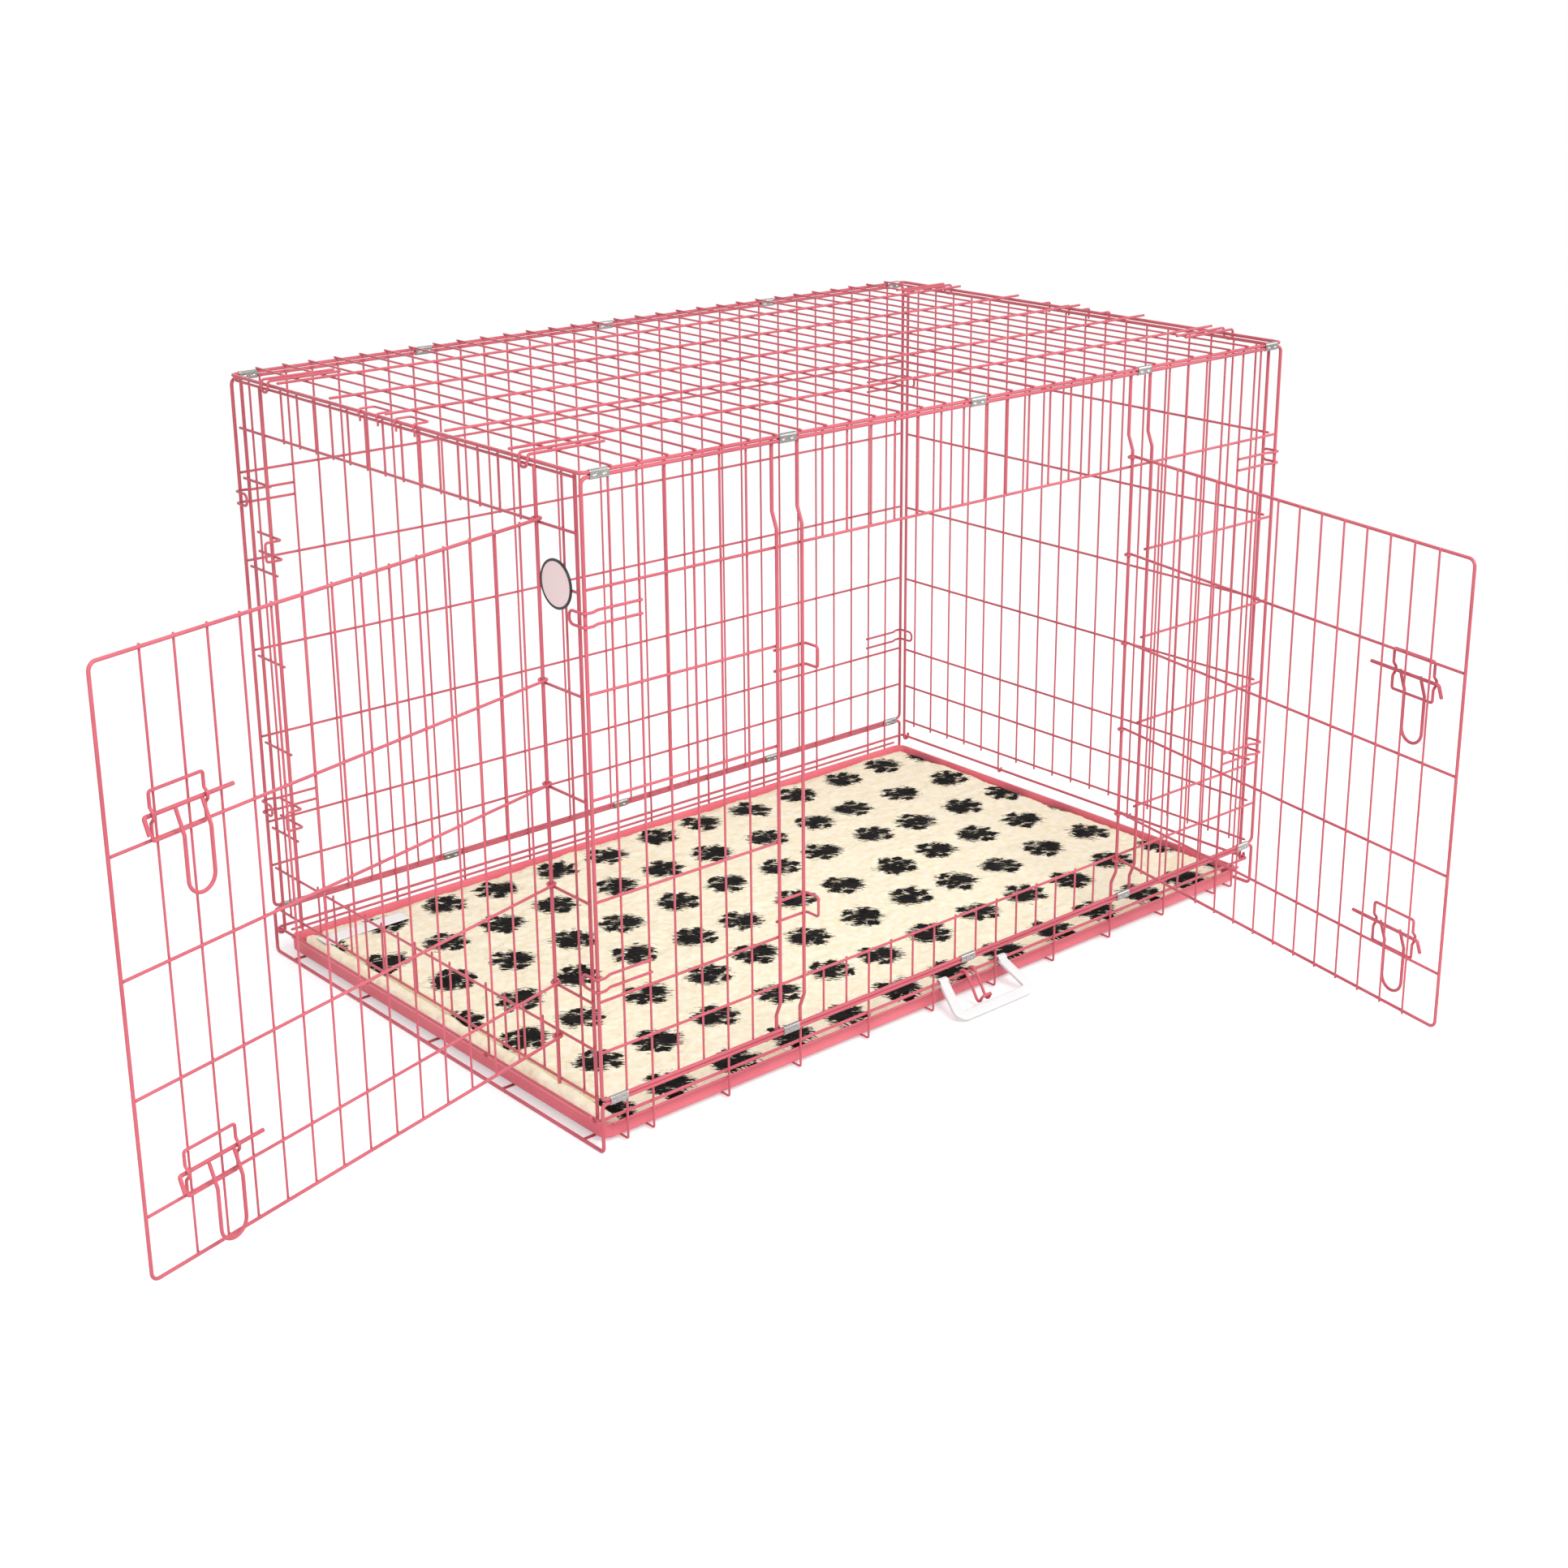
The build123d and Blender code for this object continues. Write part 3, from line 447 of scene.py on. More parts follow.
def weld_beads(places: Array, half_axes: Sequence[float]) -> Surface:
    """Small flattened drops of weld where two wires cross.

    A drop is a ball of latitude and longitude rings, stretched to its half axes.

    Args:
        places: the crossings.
        half_axes: half the drop's size along X, Y and Z.

    Returns:
        All the drops as one surface.
    """
    rings, sides = SHAPE.drop_rings, SHAPE.drop_sides
    latitude = np.repeat(np.linspace(-SHAPE.drop_tip, SHAPE.drop_tip, rings), sides)
    longitude = np.tile(np.arange(sides) * 2 * np.pi / sides, rings)
    flat = np.cos(latitude)
    ball = np.stack([flat * np.cos(longitude), flat * np.sin(longitude), np.sin(latitude)], -1)
    points = places[:, None] + (ball * np.asarray(half_axes))[None]
    starts = np.arange(len(places))[:, None, None] * len(ball)
    quads = (grid_quads(rings, sides, False, True)[None] + starts).reshape(-1, 4)
    ends = [np.arange(sides)[::-1], np.arange(sides) + (rings - 1) * sides]
    caps = [end + int(start) for start in starts.ravel() for end in ends]
    return Surface(points.reshape(-1, 3), quads, caps)


def crossings(uprights: Array, rails: Array) -> Array:
    """Where uprights cross rails in a panel's own plane.

    Args:
        uprights: rows of place, lowest and highest.
        rails: rows of height, first and last place.

    Returns:
        Rows of place and height.
    """
    place, low, high = uprights.T[:, :, None]
    height, first, last = rails.T[:, None, :]
    meet = (low <= height) & (height <= high) & (first <= place) & (place <= last)
    which, level = np.nonzero(meet)
    return np.stack([uprights[which, 0], rails[level, 0]], -1)


# Node groups and finishes


class Nodes:
    """A node tree with short calls for adding and joining its nodes."""

    def __init__(self, tree: bpy.types.NodeTree) -> None:
        """Keeps the tree."""
        self.tree = tree

    def add(self, kind: str, inputs: Inputs | None = None, **settings: object) -> bpy.types.Node:
        """Adds a node.

        Args:
            kind: the node's type.
            inputs: socket name or number to a value, or to the socket that feeds it.
            settings: attributes of the node.

        Returns:
            The new node.
        """
        node = self.tree.nodes.new(kind)
        for name, value in settings.items():
            setattr(node, name, value)
        for name, value in (inputs or {}).items():
            if isinstance(value, Socket):
                self.tree.links.new(value, node.inputs[name])
            else:
                node.inputs[name].default_value = value
        return node

    def math(self, operation: str, a: Feed, b: Feed = 0.0, clamp: bool = False) -> Socket:
        """A sum, product or other operation on one or two values."""
        return self.add("ShaderNodeMath", {0: a, 1: b}, operation=operation, use_clamp=clamp).outputs[0]

    def vector(self, operation: str, a: Feed, b: Feed = (0.0, 0.0, 0.0)) -> Socket:
        """An operation on one or two vectors."""
        node = self.add("ShaderNodeVectorMath", {0: a, 1: b}, operation=operation)
        return node.outputs["Value" if operation in ("LENGTH", "DOT_PRODUCT") else "Vector"]

    def noise(self, place: Socket, scale: Feed, detail: float = 2.0, output: str = "Fac") -> Socket:
        """Cloudy noise at a number of clouds to the metre."""
        node = self.add("ShaderNodeTexNoise", {"Vector": place, "Scale": scale, "Detail": detail})
        return node.outputs[output]

    def ramp(self, value: Socket, low: float, high: float, start: float = 0.0, stop: float = 1.0) -> Socket:
        """A value eased from start to stop as it goes from low to high."""
        inputs = {"Value": value, "From Min": low, "From Max": high, "To Min": start, "To Max": stop}
        return self.add("ShaderNodeMapRange", inputs, interpolation_type="SMOOTHSTEP").outputs[0]

    def mix(self, share: Socket, a: Feed, b: Feed) -> Socket:
        """Colour a where share is 0 and colour b where it is 1."""
        return self.add("ShaderNodeMix", {0: share, 6: a, 7: b}, data_type="RGBA").outputs[2]

    def turned(self, place: Socket, angle: Feed) -> Socket:
        """A place turned about Z."""
        inputs = {"Vector": place, "Angle": angle}
        return self.add("ShaderNodeVectorRotate", inputs, rotation_type="Z_AXIS").outputs[0]


@dataclass(frozen=True)
class GroupSocket:
    """A named socket of a node group."""

    name: str
    kind: str = "NodeSocketFloat"


class EffectGroup:
    """A shader node group, built once and placed in several materials."""

    title = ""
    takes: tuple[GroupSocket, ...] = ()
    gives: tuple[GroupSocket, ...] = ()
    _made: dict[str, bpy.types.NodeTree] = {}

    @classmethod
    def tree(cls) -> bpy.types.NodeTree:
        """The group's node tree, built at the first call.

        Returns:
            The tree.
        """
        if cls.title not in cls._made:
            group = bpy.data.node_groups.new(cls.title, "ShaderNodeTree")
            for direction, sockets in (("INPUT", cls.takes), ("OUTPUT", cls.gives)):
                for socket in sockets:
                    group.interface.new_socket(socket.name, in_out=direction, socket_type=socket.kind)
            nodes = Nodes(group)
            source = nodes.add("NodeGroupInput")
            results = cls.wire_up(nodes, {socket.name: source.outputs[socket.name] for socket in cls.takes})
            nodes.add("NodeGroupOutput", results)
            cls._made[cls.title] = group
        return cls._made[cls.title]

    @classmethod
    def wire_up(cls, nodes: Nodes, given: Sockets) -> Sockets:
        """Builds the inside.

        Args:
            nodes: the group's tree.
            given: input sockets by name.

        Returns:
            The sockets that feed the outputs, by name.
        """
        raise NotImplementedError

    @classmethod
    def place(cls, nodes: Nodes, **values: Feed) -> Sockets:
        """Puts the group in a material.

        Args:
            nodes: the material's tree.
            values: input values or sockets, with spaces in their names written as underscores.

        Returns:
            Output sockets by name.
        """
        inputs = {name.replace("_", " "): value for name, value in values.items()}
        node = nodes.add("ShaderNodeGroup", inputs, node_tree=cls.tree())
        return {socket.name: node.outputs[socket.name] for socket in cls.gives}


class CoatGrain(EffectGroup):
    """The skin of a coat or moulding: slow drifts of tint, and a fine peel that shifts gloss and height."""

    title = "coat grain"
    takes = (
        GroupSocket("Place", "NodeSocketVector"),
        GroupSocket("Light Tint", "NodeSocketColor"),
        GroupSocket("Deep Tint", "NodeSocketColor"),
        GroupSocket("Peel Scale"),
        GroupSocket("Gloss"),
        GroupSocket("Gloss Spread"),
    )
    gives = (GroupSocket("Tint", "NodeSocketColor"), GroupSocket("Roughness"), GroupSocket("Height"))
    drift_scale = 7.0
    drift_range = (0.3, 0.7)
    detail = 3.0

    @classmethod
    def wire_up(cls, nodes: Nodes, given: Sockets) -> Sockets:
        """Tint from slow clouds, roughness and height from fine ones.

        Args:
            nodes: the group's tree.
            given: its inputs by name.

        Returns:
            Its outputs by name.
        """
        slow = nodes.ramp(nodes.noise(given["Place"], cls.drift_scale, cls.detail), *cls.drift_range)
        peel = nodes.noise(given["Place"], given["Peel Scale"], cls.detail)
        swing = nodes.math("MULTIPLY", nodes.math("SUBTRACT", peel, 0.5), given["Gloss Spread"])
        return {
            "Tint": nodes.mix(slow, given["Light Tint"], given["Deep Tint"]),
            "Roughness": nodes.math("ADD", given["Gloss"], swing, clamp=True),
            "Height": peel,
        }


class FineScuffs(EffectGroup):
    """Thin rub marks in two directions."""

    title = "fine scuffs"
    takes = (GroupSocket("Place", "NodeSocketVector"), GroupSocket("Amount"))
    gives = (GroupSocket("Mask"),)
    strokes = ((25.0, 900.0, 400.0), (700.0, 40.0, 500.0))
    stroke_cut = (0.66, 0.74)
    patch_scale = 30.0
    patch_cut = (0.5, 0.7)

    @classmethod
    def wire_up(cls, nodes: Nodes, given: Sockets) -> Sockets:
        """Two stretched noises, cut to thin lines and kept only in a few patches.

        Args:
            nodes: the group's tree.
            given: its inputs by name.

        Returns:
            Its outputs by name.
        """
        lines = []
        for stretch in cls.strokes:
            place = nodes.vector("MULTIPLY", given["Place"], stretch)
            lines.append(nodes.ramp(nodes.noise(place, 1.0), *cls.stroke_cut))
        patches = nodes.ramp(nodes.noise(given["Place"], cls.patch_scale), *cls.patch_cut)
        both = nodes.math("MULTIPLY", nodes.math("MAXIMUM", *lines), patches)
        return {"Mask": nodes.math("MULTIPLY", both, given["Amount"], clamp=True)}


class PawPrints(EffectGroup):
    """Frayed paw prints in slanting rows: a broad pad, four toes and wisps between, turned to and fro."""

    title = "paw prints"
    takes = (
        GroupSocket("Place", "NodeSocketVector"),
        GroupSocket("Print Step"),
        GroupSocket("Row Step"),
        GroupSocket("Row Slant"),
        GroupSocket("Fray"),
    )
    gives = (GroupSocket("Mask"),)
    ovals = (
        ((-0.0110, 0.0), (0.0190, 0.0225), 0.0),
        ((0.0045, 0.0245), (0.0130, 0.0085), 0.08),
        ((0.0190, 0.0110), (0.0130, 0.0085), 0.08),
        ((0.0200, -0.0095), (0.0130, 0.0085), 0.08),
        ((0.0060, -0.0245), (0.0125, 0.0085), 0.08),
        ((0.0090, 0.0), (0.0260, 0.0320), 0.42),
    )
    comb_turn = math.radians(42)
    comb_pitch = (75.0, 520.0, 90.0)
    comb_pull = 2.2
    fray_scale = 130.0
    fray_detail = 4.0
    stray = (16 * MM, 14 * MM, 0.0)
    lean = 0.8
    edge = (0.92, 1.16)
    half = (0.5, 0.5, 0.5)
    draw = 0.37

    @classmethod
    def wire_up(cls, nodes: Nodes, given: Sockets) -> Sockets:
        """Finds the print's cell from the slanting rows, and the nearest oval of the print in it.

        Args:
            nodes: the group's tree.
            given: its inputs by name.

        Returns:
            Its outputs by name.
        """
        stir = nodes.noise(given["Place"], cls.fray_scale, cls.fray_detail, "Color")
        stir = nodes.vector("SUBTRACT", stir, cls.half)
        combed = nodes.turned(given["Place"], cls.comb_turn)
        strands = nodes.noise(nodes.vector("MULTIPLY", combed, cls.comb_pitch), 1.0)
        strands = nodes.math("SUBTRACT", strands, 0.5)
        pull = nodes.add("ShaderNodeVectorMath", {0: stir, "Scale": given["Fray"]}, operation="SCALE")
        split = nodes.add("ShaderNodeSeparateXYZ", {0: nodes.vector("ADD", given["Place"], pull.outputs[0])})
        row_place = nodes.math("DIVIDE", split.outputs["Y"], given["Row Step"])
        row = nodes.math("FLOOR", row_place)
        slid = nodes.math("ADD", split.outputs["X"], nodes.math("MULTIPLY", row, given["Row Slant"]))
        print_place = nodes.math("DIVIDE", slid, given["Print Step"])
        column = nodes.math("FLOOR", print_place)
        cell = nodes.add("ShaderNodeCombineXYZ", {"X": column, "Y": row, "Z": cls.draw}).outputs[0]
        chance = nodes.add("ShaderNodeTexWhiteNoise", {"Vector": cell}, noise_dimensions="3D")
        shift = nodes.vector("SUBTRACT", chance.outputs["Color"], cls.half)
        shift = nodes.vector("MULTIPLY", shift, cls.stray)
        x = nodes.math("SUBTRACT", nodes.math("FRACT", print_place), 0.5)
        y = nodes.math("SUBTRACT", nodes.math("FRACT", row_place), 0.5)
        x = nodes.math("MULTIPLY", x, given["Print Step"])
        y = nodes.math("MULTIPLY", y, given["Row Step"])
        local = nodes.add("ShaderNodeCombineXYZ", {"X": x, "Y": y}).outputs[0]
        local = nodes.vector("ADD", local, shift)
        parity = nodes.math("FLOORED_MODULO", nodes.math("ADD", column, row), 2.0)
        lean = nodes.math("MULTIPLY", nodes.math("SUBTRACT", chance.outputs["Value"], 0.5), cls.lean)
        angle = nodes.math("ADD", nodes.math("MULTIPLY", parity, math.pi), lean)
        turned = nodes.turned(local, angle)
        nearest = None
        for (px, py), (rx, ry), thin in cls.ovals:
            offset = nodes.vector("SUBTRACT", turned, (px, py, 0.0))
            distance = nodes.vector("LENGTH", nodes.vector("MULTIPLY", offset, (1 / rx, 1 / ry, 0.0)))
            distance = nodes.math("ADD", distance, thin)
            nearest = distance if nearest is None else nodes.math("MINIMUM", nearest, distance)
        frayed = nodes.math("ADD", nearest, nodes.math("MULTIPLY", strands, cls.comb_pull))
        return {"Mask": nodes.ramp(frayed, *cls.edge, 1.0, 0.0)}


class FinePile(EffectGroup):
    """Cloth fibre: curled tufts over a fine nap, with a Shade mask that is low in the hollows between tufts,
    for painted shade there.
    """

    title = "fine pile"
    takes = (GroupSocket("Place", "NodeSocketVector"), GroupSocket("Tuft Scale"), GroupSocket("Nap Scale"))
    gives = (GroupSocket("Height"), GroupSocket("Shade"))
    cloud_scale = 60.0
    cloud_reach = (12 * MM, 12 * MM, 12 * MM)
    tuft_detail = 4.0
    nap_share = 0.45
    shade_range = (0.32, 0.62)

    @classmethod
    def wire_up(cls, nodes: Nodes, given: Sockets) -> Sockets:
        """Adds a nap to tufts that are bent by slow clouds.

        Args:
            nodes: the group's tree.
            given: its inputs by name.

        Returns:
            Its outputs by name.
        """
        clouds = nodes.noise(given["Place"], cls.cloud_scale, output="Color")
        bent = nodes.vector("ADD", given["Place"], nodes.vector("MULTIPLY", clouds, cls.cloud_reach))
        tufts = nodes.noise(bent, given["Tuft Scale"], cls.tuft_detail)
        nap = nodes.noise(bent, given["Nap Scale"])
        height = nodes.math("ADD", tufts, nodes.math("MULTIPLY", nap, cls.nap_share))
        return {"Height": height, "Shade": nodes.ramp(tufts, *cls.shade_range)}


@dataclass(frozen=True)
class Finish:
    """A finish of the crate: its node material is made once and shared by every piece in it."""

    title: str
    specular: float = 0.5

    def material(self) -> bpy.types.Material:
        """The finish's material, made at the first call.

        Returns:
            The material.
        """
        made = bpy.data.materials.get(self.title)
        if made is None:
            made = bpy.data.materials.new(self.title)
            made.use_nodes = True
            made.node_tree.nodes.clear()
            nodes = Nodes(made.node_tree)
            place = nodes.add("ShaderNodeTexCoord").outputs["Object"]
            shader = nodes.add("ShaderNodeBsdfPrincipled")
            shader.inputs["Specular IOR Level"].default_value = self.specular
            self.dress(nodes, place, shader)
            nodes.add("ShaderNodeOutputMaterial", {"Surface": shader.outputs[0]})
        return made

    def dress(self, nodes: Nodes, place: Socket, shader: bpy.types.Node) -> None:
        """Feeds the shader.

        Args:
            nodes: the material's tree.
            place: object coordinates.
            shader: the Principled shader.
        """
        raise NotImplementedError

    @staticmethod
    def feed(nodes: Nodes, shader: bpy.types.Node, name: str, socket: Socket) -> None:
        """Joins a socket to one of the shader's inputs."""
        nodes.tree.links.new(socket, shader.inputs[name])

    def bump(
        self, nodes: Nodes, shader: bpy.types.Node, height: Socket, distance: float, strength: float
    ) -> None:
        """Raises the surface by a height of a given distance in metres."""
        inputs = {"Height": height, "Distance": distance, "Strength": strength}
        self.feed(nodes, shader, "Normal", nodes.add("ShaderNodeBump", inputs).outputs[0])


@dataclass(frozen=True)
class Coated(Finish):
    """Powder coat, smooth moulding or plated metal: a grain of peel, and rub marks."""

    light: Tint = (1, 1, 1, 1)
    deep: Tint = (1, 1, 1, 1)
    rubbed: Tint = (1, 1, 1, 1)
    peel_scale: float = 900.0
    gloss: float = 0.35
    gloss_spread: float = 0.3
    peel_height: float = 0.1 * MM
    peel_strength: float = 0.5
    scuffs: float = 0.3
    metallic: float = 0.0

    def dress(self, nodes: Nodes, place: Socket, shader: bpy.types.Node) -> None:
        """Grain on colour, roughness and height, with rub marks over the colour.

        Args:
            nodes: the material's tree.
            place: object coordinates.
            shader: the node to feed.
        """
        grain = CoatGrain.place(
            nodes,
            Place=place,
            Light_Tint=self.light,
            Deep_Tint=self.deep,
            Peel_Scale=self.peel_scale,
            Gloss=self.gloss,
            Gloss_Spread=self.gloss_spread,
        )
        marks = FineScuffs.place(nodes, Place=place, Amount=self.scuffs)["Mask"]
        self.feed(nodes, shader, "Base Color", nodes.mix(marks, grain["Tint"], self.rubbed))
        self.feed(nodes, shader, "Roughness", grain["Roughness"])
        self.bump(nodes, shader, grain["Height"], self.peel_height, self.peel_strength)
        shader.inputs["Metallic"].default_value = self.metallic


@dataclass(frozen=True)
class FleecePile(Finish):
    """Cream fleece with frayed dark paw prints."""

    cream: Tint = (0.99, 0.93, 0.75, 1)
    # Painted shade: the next two colours are the ground and the print, darkened in the hollows between
    # tufts.
    hollow: Tint = (0.96, 0.85, 0.60, 1)
    ink: Tint = (0.002, 0.0017, 0.0016, 1)
    faded: Tint = (0.008, 0.0066, 0.006, 1)
    print_start: Triple = (31.7 * MM, 42 * MM, 0)
    print_step: float = 97 * MM
    row_step: float = 107.2 * MM
    row_slant: float = 33.6 * MM
    fray: float = 16 * MM
    # Painted shade: a darker yellowish band along the hem's groove, standing in for the shade that falls in
    # it.
    seam_tint: Tint = (0.70, 0.58, 0.32, 1)
    seam_x: float = -556 * MM
    seam_half: float = 9 * MM
    seam_share: float = 0.8
    tuft_scale: float = 95.0
    nap_scale: float = 620.0
    roughness: float = 0.95
    sheen: float = 0.04
    sheen_roughness: float = 0.6
    pile_height: float = 5 * MM
    pile_strength: float = 0.6

    def dress(self, nodes: Nodes, place: Socket, shader: bpy.types.Node) -> None:
        """Prints over pile with painted shade in its hollows, up to the hem's seam, with a band of painted
        shade along the seam's groove, and the pile as height.

        Args:
            nodes: the material's tree.
            place: object coordinates.
            shader: the node to feed.
        """
        pile = FinePile.place(nodes, Place=place, Tuft_Scale=self.tuft_scale, Nap_Scale=self.nap_scale)
        prints = PawPrints.place(
            nodes,
            Place=nodes.vector("SUBTRACT", place, self.print_start),
            Print_Step=self.print_step,
            Row_Step=self.row_step,
            Row_Slant=self.row_slant,
            Fray=self.fray,
        )["Mask"]
        x = nodes.add("ShaderNodeSeparateXYZ", {0: place}).outputs["X"]
        prints = nodes.math("MULTIPLY", prints, nodes.ramp(x, self.seam_x - self.seam_half, self.seam_x))
        away = nodes.math("ABSOLUTE", nodes.math("SUBTRACT", x, self.seam_x))
        # Painted shade along the hem's groove, strongest at the seam and gone at seam_half from it.
        seam = nodes.ramp(away, 0.0, self.seam_half, self.seam_share, 0.0)
        # Painted shade: the pile's Shade mask darkens the ground and the print in the hollows between tufts.
        ground = nodes.mix(pile["Shade"], self.hollow, self.cream)
        ground = nodes.mix(seam, ground, self.seam_tint)
        ink = nodes.mix(pile["Shade"], self.ink, self.faded)
        self.feed(nodes, shader, "Base Color", nodes.mix(prints, ground, ink))
        shader.inputs["Roughness"].default_value = self.roughness
        shader.inputs["Sheen Weight"].default_value = self.sheen
        shader.inputs["Sheen Roughness"].default_value = self.sheen_roughness
        self.bump(nodes, shader, pile["Height"], self.pile_height, self.pile_strength)


@dataclass(frozen=True)
class LabelSatin(Finish):
    """White woven label, in fine ribs."""

    white: Tint = (0.94, 0.94, 0.93, 1)
    shade: Tint = (0.86, 0.86, 0.85, 1)
    rib_scale: float = 620.0
    rib_stir: float = 1.5
    tuft_scale: float = 700.0
    nap_scale: float = 2500.0
    roughness: float = 0.6
    sheen: float = 0.15
    rib_height: float = 0.2 * MM
    rib_strength: float = 0.4

    def dress(self, nodes: Nodes, place: Socket, shader: bpy.types.Node) -> None:
        """Ribs across the label and a soft nap.

        Args:
            nodes: the material's tree.
            place: object coordinates.
            shader: the node to feed.
        """
        inputs = {"Vector": place, "Scale": self.rib_scale, "Distortion": self.rib_stir}
        ribs = nodes.add("ShaderNodeTexWave", inputs, bands_direction="Y").outputs["Fac"]
        nap = FinePile.place(nodes, Place=place, Tuft_Scale=self.tuft_scale, Nap_Scale=self.nap_scale)
        self.feed(nodes, shader, "Base Color", nodes.mix(nap["Shade"], self.shade, self.white))
        shader.inputs["Roughness"].default_value = self.roughness
        shader.inputs["Sheen Weight"].default_value = self.sheen
        height = nodes.math("ADD", ribs, nap["Height"])
        self.bump(nodes, shader, height, self.rib_height, self.rib_strength)


WIRE = Coated(
    "pink powder coat",
    specular=0.22,
    light=(0.61, 0.133, 0.170, 1),
    deep=(0.53, 0.104, 0.137, 1),
    rubbed=(0.72, 0.28, 0.32, 1),
    peel_scale=1400.0,
    gloss=0.36,
    gloss_spread=0.3,
    peel_height=0.06 * MM,
    scuffs=0.25,
)
PAN = Coated(
    "pink tray enamel",
    specular=0.25,
    light=(0.82, 0.200, 0.240, 1),
    deep=(0.74, 0.160, 0.200, 1),
    rubbed=(0.80, 0.29, 0.32, 1),
    peel_scale=700.0,
    gloss=0.42,
    gloss_spread=0.35,
    peel_height=0.1 * MM,
    scuffs=0.45,
)
PLASTIC = Coated(
    "white moulded plastic",
    light=(0.72, 0.72, 0.72, 1),
    deep=(0.67, 0.67, 0.67, 1),
    rubbed=(0.60, 0.60, 0.59, 1),
    peel_scale=1100.0,
    gloss=0.42,
    gloss_spread=0.25,
    peel_height=0.08 * MM,
    scuffs=0.3,
)
DISH = Coated(
    "dark plaque plastic",
    light=(0.020, 0.019, 0.021, 1),
    deep=(0.014, 0.013, 0.015, 1),
    rubbed=(0.08, 0.08, 0.085, 1),
    peel_scale=800.0,
    gloss=0.3,
    gloss_spread=0.2,
    scuffs=0.35,
)
INLAY = Coated(
    "pale plaque inlay",
    light=(0.93, 0.77, 0.76, 1),
    deep=(0.90, 0.72, 0.73, 1),
    rubbed=(0.95, 0.87, 0.86, 1),
    peel_scale=900.0,
    gloss=0.34,
    gloss_spread=0.2,
    scuffs=0.25,
)
ZINC = Coated(
    "bright zinc",
    light=(0.42, 0.41, 0.40, 1),
    deep=(0.31, 0.30, 0.29, 1),
    rubbed=(0.31, 0.30, 0.29, 1),
    peel_scale=700.0,
    gloss=0.28,
    gloss_spread=0.12,
    peel_strength=0.4,
    scuffs=0.4,
    metallic=1.0,
)
FLEECE = FleecePile("paw print fleece", specular=0.02)
LABEL = LabelSatin("white woven label", specular=0.3)
FINISH_OF = {
    Slot.WIRE: WIRE,
    Slot.TRAY: PAN,
    Slot.ZINC: ZINC,
    Slot.FLEECE: FLEECE,
    Slot.LABEL: LABEL,
    Slot.PLASTIC: PLASTIC,
    Slot.DISH: DISH,
    Slot.INLAY: INLAY,
}


class Workshop:
    """Turns surfaces into pieces of the dressed part."""

    @staticmethod
    def piece(
        name: str,
        surface: Surface,
        slot: Slot,
        body: str,
        replaced: Sequence[str] = (),
        crease: float = math.radians(38),
    ) -> bpy.types.Object:
        """Makes a piece, gives it its finish and sets it on its body.

        Args:
            name: the piece's name.
            surface: its shape, in the part's frame.
            slot: the record's material slot.
            body: the body that it moves with.
            replaced: nodes that it stands for.
            crease: edges that turn by more stay sharp.

        Returns:
            The new object.
        """
        made = bpy.data.objects.new(name, surface.to_mesh(name, crease))
        bpy.context.scene.collection.objects.link(made)
        made.data.materials.append(FINISH_OF[slot].material())
        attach(made, body)
        if replaced:
            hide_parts(*replaced)
        LOG.info("%s on %s: %d faces", name, body, len(made.data.polygons))
        return made

    @classmethod
    def stand_in(cls, node: str, wires: Iterable[Surface]) -> None:
        """Makes the piece that stands for one node of wires."""
        cls.piece(f"{node}_coated", Surface.joined(wires), Slot.WIRE, BODY_OF[node], [node])

    @staticmethod
    def dress_node(node: str, slot: Slot) -> None:
        """Gives a node that stays in view its finish.

        Args:
            node: the node's name.
            slot: the record's material slot.
        """
        target = frame["nodes"][node]
        target.data.materials.clear()
        target.data.materials.append(FINISH_OF[slot].material())
        LOG.info("%s keeps its solid", node)


# Sub-assemblies


